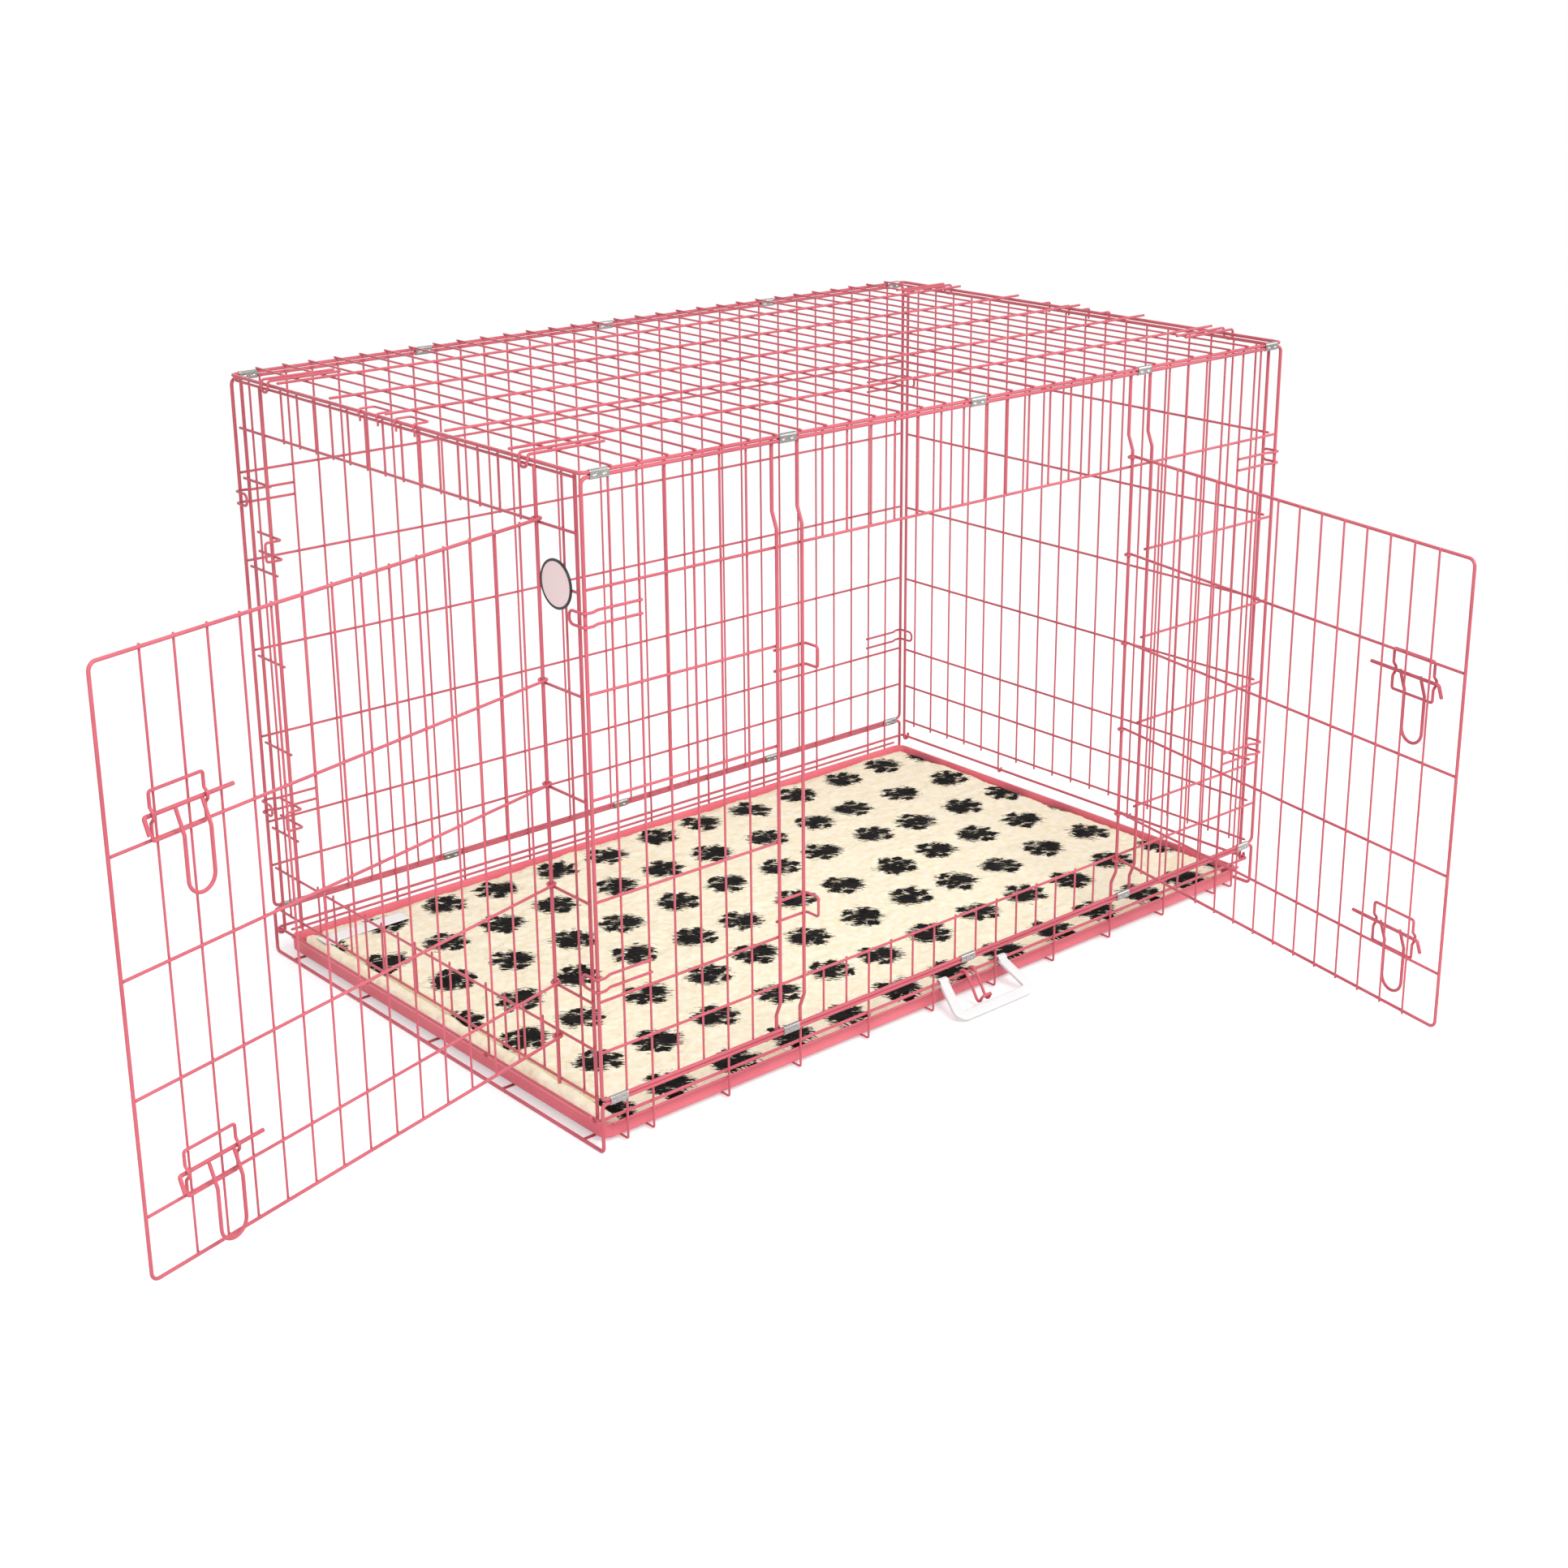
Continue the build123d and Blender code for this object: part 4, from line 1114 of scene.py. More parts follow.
@dataclass
class Base:
    """The base: bent frame wire, rim ring, lower side wires, hoops and floor wires."""

    butt_gap: float = 0.1 * MM
    rim_bend: float = 5 * MM
    lower_side_z: float = 30 * MM
    floor_wires: int = 5
    floor_wire_inset: float = 43 * MM
    weld_size: Triple = (1.9 * MM, 1.2 * MM, 2.2 * MM)

    def frame_wire(self) -> list[Surface]:
        """A rail along each side, bent down at the corners and across the floor at the ends.

        Returns:
            The wire's two halves.
        """
        floor_z = SIZES.r_frame - SIZES.floor_flat
        halves = []
        for side in Side:
            x, y = SIZES.half_length, side.value * SIZES.half_width
            middle = side.value * self.butt_gap / 2
            points = [(-x, middle, floor_z), (-x, y, floor_z), (-x, y, SIZES.base_rail_z)]
            points += [(x, y, SIZES.base_rail_z), (x, y, floor_z), (x, middle, floor_z)]
            halves.append(wire(points, SIZES.r_frame, SIZES.base_bend).worn_flat())
        return halves

    def rim(self) -> list[Surface]:
        """The ring at mid height."""
        x, y, z = SIZES.half_length, SIZES.rim_y, SIZES.rim_z
        return [wire_loop([(-x, -y, z), (x, -y, z), (x, y, z), (-x, y, z)], SIZES.r_rim, self.rim_bend)]

    def side_wires(self) -> list[Surface]:
        """A straight wire below the rim on each long side.

        Returns:
            One wire for each side.
        """
        x, z = SIZES.half_length - SIZES.pitch / 2, self.lower_side_z
        y = SIZES.hoop_y - SIZES.r_hoop - SIZES.r_rail - SIZES.weld_gap
        return [wire([(-x, s.value * y, z), (x, s.value * y, z)], SIZES.r_rail) for s in Side]

    def hoop_places(self) -> list[int]:
        """Wire positions of the hoops: next to each end, and every third between."""
        last = SIZES.pitches - 1
        return sorted({1, last, *range(2, last, 3)})

    def hoops(self) -> list[Surface]:
        """U-shaped hoops from rail to rail under the tray.

        Returns:
            One wire for each hoop.
        """
        y, low, high = SIZES.hoop_y, SIZES.hoop_z, SIZES.base_rail_z + SIZES.r_frame
        return [
            wire([(x, -y, high), (x, -y, low), (x, y, low), (x, y, high)], SIZES.r_hoop, SIZES.base_bend / 2)
            for x in map(SIZES.wire_x, self.hoop_places())
        ]

    def long_floor_wires(self) -> list[Surface]:
        """Long wires under the hoops, which stand on the floor and butt on the frame's end runs.

        Returns:
            One wire for each place across the crate.
        """
        x, z = SIZES.half_length - SIZES.r_frame, SIZES.r_rail - SIZES.floor_flat
        outermost = SIZES.half_width - self.floor_wire_inset
        return [
            wire([(-x, y, z), (x, y, z)], SIZES.r_rail).worn_flat()
            for y in np.linspace(-outermost, outermost, self.floor_wires)
        ]

    def welds(self) -> Surface:
        """Drops where the hoops meet the rails and the rim.

        Returns:
            All the drops.
        """
        x = SIZES.wire_x(np.array(self.hoop_places(), float))
        drops = []
        for side in Side:
            for y, z in (
                (SIZES.half_width - SIZES.r_frame, SIZES.base_rail_z),
                (SIZES.hoop_y - SIZES.r_hoop, SIZES.rim_z),
            ):
                drops.append(np.stack([x, np.full_like(x, side.value * y), np.full_like(x, z)], -1))
        return weld_beads(np.concatenate(drops), self.weld_size)

    def build(self) -> None:
        """Makes the base's pieces."""
        Workshop.stand_in("base_frame_wire", self.frame_wire())
        Workshop.stand_in("base_rim_wire", self.rim())
        Workshop.stand_in("base_side_wires", self.side_wires())
        Workshop.stand_in("base_floor_hoops", self.hoops())
        Workshop.stand_in("base_floor_wires", self.long_floor_wires())
        Workshop.piece("base_welds", self.welds(), Slot.WIRE, "crate")


@dataclass
class SidePanel:
    """A long side: frame ring, uprights inside it, rails outside them, and hooks round the corners."""

    side: Side
    doorway: bool
    jog_run: float = 20 * MM
    jog_drop: float = 82 * MM
    hook_heights: tuple[float, float] = (657 * MM, 219 * MM)
    hook_gap: float = 16 * MM
    hook_reach: float = 24 * MM
    hook_ease: float = 1 * MM
    jog_shares: tuple[float, float] = (0.45, 0.20)
    weld_size: Triple = (1.9 * MM, 1.1 * MM, 2.1 * MM)

    def __post_init__(self) -> None:
        """Works out how far each layer lies outward of the frame's plane."""
        self.upright_out = -(SIZES.r_frame + SIZES.r_upright + SIZES.weld_gap)
        self.rail_out = self.upright_out + SIZES.r_upright + SIZES.r_rail + SIZES.weld_gap
        self.jamb_in = -(SIZES.r_frame + SIZES.r_jamb + SIZES.weld_gap)
        self.jamb_out = self.rail_out + SIZES.r_rail + SIZES.r_jamb + SIZES.weld_gap
        self.name = self.side.name.lower()

    def at(self, x: float, out: float, z: float) -> Triple:
        """A point of the panel, so far outward of its frame."""
        return (x, self.side.value * (SIZES.half_width + out), z)

    def frame_ring(self) -> list[Surface]:
        """The closed frame.

        Returns:
            The ring.
        """
        x, low, high = SIZES.half_length, SIZES.side_bottom, SIZES.side_top
        corners = [self.at(-x, 0, low), self.at(x, 0, low), self.at(x, 0, high), self.at(-x, 0, high)]
        return [wire_loop(corners, SIZES.r_frame, SIZES.frame_bend)]

    def upright_spans(self) -> Array:
        """Rows of place, lowest and highest, with the doorway's uprights broken.

        Returns:
            One row for each upright.
        """
        low, high = SIZES.side_bottom - SIZES.r_frame, SIZES.side_top + SIZES.r_frame
        rows = []
        for index in range(1, SIZES.pitches):
            x = SIZES.wire_x(index)
            if not self.doorway or index < SIZES.jambs[0] or index > SIZES.jambs[3]:
                rows.append((x, low, high))
            elif SIZES.jambs[1] < index < SIZES.jambs[2]:
                rows.append((x, low, SIZES.sill_z + SIZES.r_rail))
                rows.append((x, SIZES.side_header_z - SIZES.r_rail, high))
        return np.array(rows)

    def rail_spans(self) -> Array:
        """Rows of height, first and last place, with the doorway's rails cut short.

        Returns:
            One row for each rail.
        """
        reach = SIZES.half_length - SIZES.r_frame - SIZES.weld_gap
        rows = []
        for z in (SIZES.sill_z, *SIZES.rail_z, SIZES.side_header_z):
            if self.doorway and SIZES.sill_z < z < SIZES.side_header_z:
                rows.append((z, -reach, SIZES.wire_x(SIZES.jambs[0]) + SIZES.r_jamb))
                rows.append((z, SIZES.wire_x(SIZES.jambs[3]) - SIZES.r_jamb, reach))
            else:
                rows.append((z, -reach, reach))
        return np.array(rows)

    def uprights(self) -> list[Surface]:
        """Uprights on the inner face of the frame."""
        ends = ([self.at(x, self.upright_out, z) for z in span] for x, *span in self.upright_spans())
        return [wire(points, SIZES.r_upright) for points in ends]

    def rails(self) -> list[Surface]:
        """Rails on the outer face of the uprights."""
        ends = ([self.at(x, self.rail_out, z) for x in span] for z, *span in self.rail_spans())
        return [wire(points, SIZES.r_rail) for points in ends]

    def jambs(self) -> list[Surface]:
        """Thick uprights beside the doorway, jogged outward between header and sill.

        Returns:
            One wire for each jamb.
        """
        high, low = SIZES.side_top - self.jog_drop, SIZES.side_bottom + self.jog_run
        profile = [
            (self.jamb_in, SIZES.side_bottom - SIZES.r_frame),
            (self.jamb_in, low),
            (self.jamb_out, low + self.jog_run),
            (self.jamb_out, high - self.jog_run),
            (self.jamb_in, high),
            (self.jamb_in, SIZES.side_top + SIZES.r_frame),
        ]
        return [
            wire([self.at(x, out, z) for out, z in profile], SIZES.r_jamb, SIZES.frame_bend)
            for x in map(SIZES.wire_x, SIZES.jambs)
        ]

    def corner_hooks(self) -> list[Surface]:
        """Hairpins from the second upright, round the corner and across an end panel's edge.

        Returns:
            One wire for each hook.
        """
        outside = SIZES.r_frame + SIZES.r_hook + SIZES.weld_gap
        half = [
            (SIZES.half_length - 2 * SIZES.pitch - SIZES.r_upright, self.rail_out),
            (SIZES.half_length - self.jog_shares[0] * SIZES.pitch, self.rail_out),
            (SIZES.half_length - self.jog_shares[1] * SIZES.pitch, outside),
            (SIZES.half_length + outside, outside),
            (SIZES.half_length + outside, -self.hook_reach),
        ]
        round_end = self.hook_gap / 2 - self.hook_ease
        bends = [SIZES.hook_bend] * 3 + [round_end] * 2 + [SIZES.hook_bend] * 3
        hooks = []
        for end in End:
            for middle in self.hook_heights:
                low = [self.at(end.value * x, out, middle - self.hook_gap / 2) for x, out in half]
                high = [self.at(end.value * x, out, middle + self.hook_gap / 2) for x, out in half[::-1]]
                hooks.append(wire(low + high, SIZES.r_hook, bends))
        return hooks

    def welds(self) -> Surface:
        """Drops between the uprights and the rails, and between the uprights and the frame.

        Returns:
            All the drops.
        """
        uprights = self.upright_spans()
        ends = np.concatenate([uprights[:, :2], uprights[:, ::2]])
        on_rails = crossings(uprights, self.rail_spans())
        on_frame = ends[(ends[:, 1] < SIZES.sill_z / 2) | (ends[:, 1] > SIZES.side_top)]
        on_frame[:, 1] = np.where(on_frame[:, 1] > SIZES.side_header_z, SIZES.side_top, SIZES.side_bottom)
        drops = []
        for meet, out in (
            (on_rails, self.upright_out + SIZES.r_upright),
            (on_frame, -SIZES.r_frame),
        ):
            y = np.full(len(meet), self.side.value * (SIZES.half_width + out))
            drops.append(np.stack([meet[:, 0], y, meet[:, 1]], -1))
        return weld_beads(np.concatenate(drops), self.weld_size)

    def build(self) -> None:
        """Makes the panel's pieces."""
        Workshop.stand_in(f"{self.name}_panel_frame", self.frame_ring())
        Workshop.stand_in(f"{self.name}_panel_uprights", self.uprights())
        Workshop.stand_in(f"{self.name}_panel_rails", self.rails())
        Workshop.stand_in(f"{self.name}_corner_hooks", self.corner_hooks())
        Workshop.piece(f"{self.name}_panel_welds", self.welds(), Slot.WIRE, "crate")
        if self.doorway:
            Workshop.stand_in(f"{self.name}_door_jambs", self.jambs())


@dataclass
class TopPanel:
    """The top: frame ring, cross wires on it, long wires on them, and spring hooks over the ends."""

    long_wires: int = 5
    overhang: float = 4 * MM
    hook_inset: float = 98 * MM
    hook_gap: float = 16 * MM
    hook_length: float = 100 * MM
    hook_hang: float = 15 * MM
    hook_ease: float = 1 * MM
    weld_size: Triple = (1.9 * MM, 2.1 * MM, 1.1 * MM)

    def frame_ring(self) -> list[Surface]:
        """The closed frame."""
        x, y, z = SIZES.half_length, SIZES.half_width, SIZES.top_z
        return [wire_loop([(-x, -y, z), (x, -y, z), (x, y, z), (-x, y, z)], SIZES.r_frame, SIZES.frame_bend)]

    def cross_places(self) -> Array:
        """Places of the cross wires along the crate."""
        return SIZES.wire_x(np.arange(1, SIZES.pitches))

    def long_places(self) -> Array:
        """Places of the long wires across the crate."""
        return SIZES.half_width * (np.arange(1, self.long_wires + 1) * 2 / (self.long_wires + 1) - 1)

    def cross_wires(self) -> list[Surface]:
        """Wires from front to back."""
        y, z = SIZES.half_width + self.overhang, SIZES.cross_z
        return [wire([(x, -y, z), (x, y, z)], SIZES.r_upright) for x in self.cross_places()]

    def length_wires(self) -> list[Surface]:
        """Wires from end to end."""
        x, z = SIZES.half_length + self.overhang, SIZES.long_z
        return [wire([(-x, y, z), (x, y, z)], SIZES.r_rail) for y in self.long_places()]

    def spring_hooks(self) -> list[Surface]:
        """Hairpins on the cross wires, arched over the end wire to hang outside the end panel.

        Returns:
            One wire for each hook.
        """
        outside = SIZES.half_length + SIZES.r_frame + SIZES.r_hook + SIZES.run_clear
        half = [
            (SIZES.half_length - self.hook_length, SIZES.long_z),
            (outside, SIZES.long_z),
            (outside + SIZES.r_hook, SIZES.long_z - self.hook_hang),
        ]
        middle, gap = SIZES.half_width - self.hook_inset, self.hook_gap / 2
        bends = [SIZES.hook_bend, gap - self.hook_ease, gap - self.hook_ease, SIZES.hook_bend]
        hooks = []
        for end in End:
            for side in Side:
                points = [(end.value * x, side.value * (middle - gap), z) for x, z in half]
                points += [(end.value * x, side.value * (middle + gap), z) for x, z in half[::-1]]
                hooks.append(wire(points, SIZES.r_hook, bends))
        return hooks

    def welds(self) -> Surface:
        """Drops where long wires lie on cross wires, and where cross wires lie on the frame.

        Returns:
            All the drops.
        """
        x, y = np.meshgrid(self.cross_places(), self.long_places())
        on_cross = np.stack([x.ravel(), y.ravel(), np.full(x.size, SIZES.cross_z + SIZES.r_upright)], -1)
        x, y = np.meshgrid(self.cross_places(), SIZES.half_width * np.array([-1, 1]))
        on_frame = np.stack([x.ravel(), y.ravel(), np.full(x.size, SIZES.top_z + SIZES.r_frame)], -1)
        return weld_beads(np.concatenate([on_cross, on_frame]), self.weld_size)

    def build(self) -> None:
        """Makes the top's pieces."""
        Workshop.stand_in("top_panel_frame", self.frame_ring())
        Workshop.stand_in("top_cross_wires", self.cross_wires())
        Workshop.stand_in("top_long_wires", self.length_wires())
        Workshop.stand_in("top_spring_hooks", self.spring_hooks())
        Workshop.piece("top_panel_welds", self.welds(), Slot.WIRE, "crate")


@dataclass
class EndPanel:
    """A short end: edge wires hooked round the rim wire, uprights, rails, and jambs at a doorway."""

    end: End
    doorway: bool
    edge_inset: float = 17 * MM
    edge_gap: float = 23.025 * MM
    upright_count: int = 18
    bottom_z: float = 68 * MM
    header_z: float = 752 * MM
    top_drop: float = 6 * MM
    strip_drop: float = 5 * MM
    stub: float = 5 * MM
    hooked: tuple[int, int] = (5, 12)
    foot_share: float = 0.98
    weld_size: Triple = (1.1 * MM, 1.9 * MM, 2.1 * MM)

    def __post_init__(self) -> None:
        """Works out the panel's places and how far each layer lies outward of its rails."""
        self.plane_x = SIZES.half_length - SIZES.panel_gap
        self.edge_y = SIZES.half_width - self.edge_inset
        self.pitch = 2 * (self.edge_y - self.edge_gap) / (self.upright_count - 1)
        self.jamb_y = (self.upright_count / 2 - 1.5) * self.pitch
        self.top_z = SIZES.top_z - self.top_drop
        self.upright_out = -(SIZES.r_rail + SIZES.r_upright + SIZES.weld_gap)
        self.edge_out = -(SIZES.r_rail + SIZES.r_edge + SIZES.weld_gap)
        self.jamb_out = SIZES.r_rail + SIZES.r_jamb + SIZES.weld_gap
        self.name = self.end.name.lower()

    def at(self, out: float, y: float, z: float) -> Triple:
        """A point of the panel, so far outward of its rails."""
        return (self.end.value * (self.plane_x + out), y, z)

    def edges(self) -> list[Surface]:
        """Edge wires with a hook at the foot round the base's rim wire.

        Returns:
            One wire for each edge.
        """
        inner = SIZES.r_rim + SIZES.run_clear + SIZES.r_edge
        rim = SIZES.half_length - self.plane_x
        profile = [
            (rim - inner, self.top_z + SIZES.r_edge),
            (rim - inner, SIZES.rim_z - inner),
            (rim + inner, SIZES.rim_z - inner),
            (rim + inner, SIZES.rim_z + 2 * SIZES.r_edge),
        ]
        bend = inner - 2 * SIZES.weld_gap
        return [
            wire([self.at(out, side.value * self.edge_y, z) for out, z in profile], SIZES.r_edge, bend)
            for side in Side
        ]

    def upright_spans(self) -> Array:
        """Rows of place, lowest and highest, with the doorway's uprights broken.

        Returns:
            One row for each upright.
        """
        low, high = self.bottom_z - self.stub, self.top_z + SIZES.r_edge
        rows = []
        for y in map(self.place, range(self.upright_count)):
            if not self.doorway or abs(y) > self.jamb_y + self.stub:
                rows.append((y, low, high))
            elif abs(y) < self.jamb_y - self.stub:
                rows.append((y, low, SIZES.sill_z + self.stub))
                rows.append((y, self.header_z - self.stub, high))
        return np.array(rows)

    def rail_spans(self) -> Array:
        """Rows of height, first and last place, with the doorway's rails cut short and lowered.

        Returns:
            One row for each rail.
        """
        reach = self.edge_y + self.stub
        whole = [self.bottom_z, SIZES.sill_z, self.top_z]
        strips = [*SIZES.rail_z, SIZES.side_header_z]
        if not self.doorway:
            return np.array([(z, -reach, reach) for z in (*whole, *strips)])
        rows = [(z, -reach, reach) for z in (*whole, self.header_z)]
        for z in strips:
            rows.append((z - self.strip_drop, -reach, SIZES.r_jamb - self.jamb_y))
            rows.append((z - self.strip_drop, self.jamb_y - SIZES.r_jamb, reach))
        return np.array(rows)

    def place(self, index: int) -> float:
        """Where an upright stands across the crate."""
        return (index - (self.upright_count - 1) / 2) * self.pitch

    def uprights(self) -> list[Surface]:
        """Uprights on the inner face of the rails, two of them hooked round the rim wire at the foot.

        Returns:
            One wire for each upright.
        """
        rim = SIZES.half_length - self.plane_x
        inner = rim - self.upright_out
        foot = [
            (self.upright_out, SIZES.rim_z - inner),
            (rim + inner, SIZES.rim_z - inner),
            (rim + inner, SIZES.rim_z + 2 * SIZES.r_upright),
        ]
        hooked = {self.place(index) for index in self.hooked}
        wires = []
        for y, low, high in self.upright_spans():
            tail = foot if y in hooked and low < SIZES.sill_z else [(self.upright_out, low)]
            path = [self.at(out, y, z) for out, z in [(self.upright_out, high), *tail]]
            wires.append(wire(path, SIZES.r_upright, self.foot_share * inner))
        return wires

    def rails(self) -> list[Surface]:
        """Rails on the outer face.

        Returns:
            One wire for each rail.
        """
        return [
            wire([self.at(0, first, z), self.at(0, last, z)], SIZES.r_rail)
            for z, first, last in self.rail_spans()
        ]

    def jambs(self) -> list[Surface]:
        """Thick uprights beside the doorway, on the outer face of the rails.

        Returns:
            One wire for each jamb.
        """
        low, high = self.bottom_z - self.stub, self.top_z + SIZES.r_edge
        return [
            wire([self.at(self.jamb_out, y, low), self.at(self.jamb_out, y, high)], SIZES.r_jamb)
            for y in (-self.jamb_y, self.jamb_y)
        ]

    def welds(self) -> Surface:
        """Drops between the uprights and the rails.

        Returns:
            All the drops.
        """
        meet = crossings(self.upright_spans(), self.rail_spans())
        x = np.full(len(meet), self.end.value * (self.plane_x + self.upright_out + SIZES.r_upright))
        places = np.stack([x, meet[:, 0], meet[:, 1]], -1)
        return weld_beads(places, self.weld_size)

    def build(self) -> None:
        """Makes the panel's pieces."""
        Workshop.stand_in(f"{self.name}_end_edges", self.edges())
        Workshop.stand_in(f"{self.name}_end_uprights", self.uprights())
        Workshop.stand_in(f"{self.name}_end_rails", self.rails())
        Workshop.piece(f"{self.name}_end_welds", self.welds(), Slot.WIRE, "crate")
        Workshop.dress_node(f"{self.name}_end_top_tabs", Slot.WIRE)
        if self.doorway:
            Workshop.stand_in(f"{self.name}_end_jambs", self.jambs())
            Workshop.dress_node(f"{self.name}_end_keepers", Slot.WIRE)


@dataclass
class Door:
    """A door, shaped shut from its hinge axis with X along it and Y outward, then turned open."""

    name: str
    width: float
    top: float
    first: float
    last: float
    hinge: tuple[float, float]
    heading: float
    bottom: float = 126 * MM
    bend: float = 9 * MM
    upright_count: int = 14
    nub: float = 2.2 * MM
    curl_steps: int = 22
    weld_size: Triple = (1.8 * MM, 1.0 * MM, 2.0 * MM)

    def __post_init__(self) -> None:
        """Works out the rings round the jamb and the layer of the uprights."""
        self.frame_ring = SIZES.r_jamb + SIZES.run_clear + SIZES.r_door_frame
        self.rail_ring = SIZES.r_jamb + SIZES.run_clear + SIZES.r_rail
        self.upright_out = self.rail_ring - SIZES.r_rail - SIZES.r_door_upright - SIZES.weld_gap

    def curl(self, ring: float, z: float) -> Array:
        """Three quarters of a turn round the jamb, ending at the door's outer face."""
        angle = np.linspace(2 * np.pi, np.pi / 2, self.curl_steps)
        return np.stack([ring * np.cos(angle), ring * np.sin(angle), np.full_like(angle, z)], -1)

    def frame_wire(self) -> list[Surface]:
        """Top and bottom curled round the jamb, and the free edge between them.

        Returns:
            The one wire.
        """
        ring = self.frame_ring
        corners = [(0, ring, self.top), (self.width, ring, self.top)]
        corners += [(self.width, ring, self.bottom), (0, ring, self.bottom)]
        run = rounded_path(corners, self.bend)
        path = np.concatenate([self.curl(ring, self.top), run[1:-1], self.curl(ring, self.bottom)[::-1]])
        return [cut_wire(path, SIZES.r_door_frame)]

    def rails(self) -> list[Surface]:
        """Rails from their rings to the free edge.

        Returns:
            One wire for each rail.
        """
        stop = self.width - SIZES.r_door_frame - SIZES.weld_gap
        rails = []
        for z in SIZES.rail_z:
            path = np.concatenate([self.curl(self.rail_ring, z), [(stop, self.rail_ring, z)]])
            rails.append(cut_wire(path, SIZES.r_rail))
        return rails

    def upright_places(self) -> Array:
        """Places of the uprights along the door."""
        return np.linspace(self.last, self.width - self.first, self.upright_count)

    def uprights(self) -> list[Surface]:
        """Uprights on the inner face, with nubs past the top and bottom wires."""
        low, high, out = self.bottom - self.nub, self.top + self.nub, self.upright_out
        return [wire([(s, out, low), (s, out, high)], SIZES.r_door_upright) for s in self.upright_places()]

    def welds(self) -> Surface:
        """Drops between the uprights and the wires that cross them.

        Returns:
            All the drops.
        """
        s, z = np.meshgrid(self.upright_places(), np.array([self.bottom, *SIZES.rail_z, self.top]))
        out = np.full(s.size, self.upright_out + SIZES.r_door_upright)
        return weld_beads(np.stack([s.ravel(), out, z.ravel()], -1), self.weld_size)

    def build(self) -> None:
        """Makes the door's pieces where it hangs open."""
        body = f"{self.name}_door"
        for part, wires in (
            ("frame", self.frame_wire()),
            ("rails", self.rails()),
            ("uprights", self.uprights()),
        ):
            Workshop.stand_in(f"{body}_{part}", [w.turned(self.heading, (*self.hinge, 0)) for w in wires])
        welds = self.welds().turned(self.heading, (*self.hinge, 0))
        Workshop.piece(f"{body}_welds", welds, Slot.WIRE, body)
        for level in ("upper", "lower"):
            for part in ("bracket", "bolt", "handle"):
                Workshop.dress_node(f"{self.name}_{level}_{part}", Slot.WIRE)


@dataclass
class Sleeves:
    """Zinc sleeves crimped round the hinge wires, five on each line."""

    length: float = 26 * MM
    wall: float = 1.0 * MM
    end_inset: float = 24 * MM
    crimp_place: float = 0.5
    crimp_width: float = 0.2
    crimp_depth: float = 0.45
    waist: float = 1.3 * MM
    edge_share: float = 0.7
    rows: int = 25
    arc_points: int = 11
    side_points: int = 7

    def places(self) -> list[float]:
        """Places along the crate.

        Returns:
            One place for each sleeve of a line.
        """
        outer = SIZES.half_length - self.end_inset
        inner = SIZES.half_length - (SIZES.jamb_index - 0.5) * SIZES.pitch
        return [-outer, -inner, 0.0, inner, outer]

    def ring(self, radius: float, crimp: Array) -> Array:
        """Rows of a long oval round both wires, drawn in at the waist.

        Args:
            radius: radius of the oval's round ends.
            crimp: how far each row is pinched, from 0 to 1.

        Returns:
            An array of rows by points by outward and upward coordinates.
        """
        half = SIZES.pair_step / 2
        arc = np.linspace(0, np.pi, self.arc_points)
        side = np.linspace(half, -half, self.side_points + 2)[1:-1]
        flat = np.ones(self.side_points)
        out = np.concatenate([np.cos(arc), -flat, -np.cos(arc), flat]) * radius
        up = np.concatenate([half + radius * np.sin(arc), side, -half - radius * np.sin(arc), side[::-1]])
        pinch = 1 - self.crimp_depth * crimp[:, None] * np.exp(-((up / self.waist) ** 2))[None]
        return np.stack([out[None] * pinch, np.broadcast_to(up, pinch.shape)], -1)

    def sleeve(self, side: Side, x: float, z: float) -> Surface:
        """One sleeve: out along its outer skin and back along its inner one.

        Args:
            side: the side of the crate.
            x: place of its middle.
            z: height of its middle.

        Returns:
            A closed surface.
        """
        along = np.linspace(-1, 1, self.rows)
        crimp = np.exp(-(((np.abs(along) - self.crimp_place) / self.crimp_width) ** 2))
        bore = SIZES.r_frame + SIZES.weld_gap
        outer = self.ring(bore + self.wall, crimp)
        outer[[0, -1]] = self.ring(bore + self.wall * self.edge_share, crimp[[0, -1]])
        inner = self.ring(bore, crimp[::-1])
        shell = np.concatenate([outer, inner])
        place = np.concatenate([along, along[::-1]]) * self.length / 2
        x_grid = np.broadcast_to((x + place)[:, None], shell.shape[:2])
        points = np.stack([x_grid, side.value * SIZES.half_width + shell[..., 0], z + shell[..., 1]], -1)
        return Surface(points.reshape(-1, 3), grid_quads(*shell.shape[:2], True, True))

    def build(self) -> None:
        """Makes the four lines of sleeves."""
        for side in Side:
            for level, low in (("top", SIZES.side_top), ("bottom", SIZES.base_rail_z)):
                node = f"{side.name.lower()}_{level}_sleeves"
                rings = [self.sleeve(side, x, low + SIZES.pair_step / 2) for x in self.places()]
                Workshop.piece(f"{node}_crimped", Surface.joined(rings), Slot.ZINC, BODY_OF[node], [node])


def rounded_outline(half_x: float, half_y: float, corner: float, steps: int = 8) -> Array:
    """A rectangle with round corners, anticlockwise.

    Args:
        half_x: half its length.
        half_y: half its width.
        corner: corner radius.
        steps: pieces in each corner.

    Returns:
        Rows of X and Y.
    """
    angle = np.arange(4)[:, None] * np.pi / 2 + np.linspace(0, np.pi / 2, steps + 1)[None]
    centre = np.array([(1, 1), (-1, 1), (-1, -1), (1, -1)]) * (half_x - corner, half_y - corner)
    return (centre[:, None] + corner * np.stack([np.cos(angle), np.sin(angle)], -1)).reshape(-1, 2)


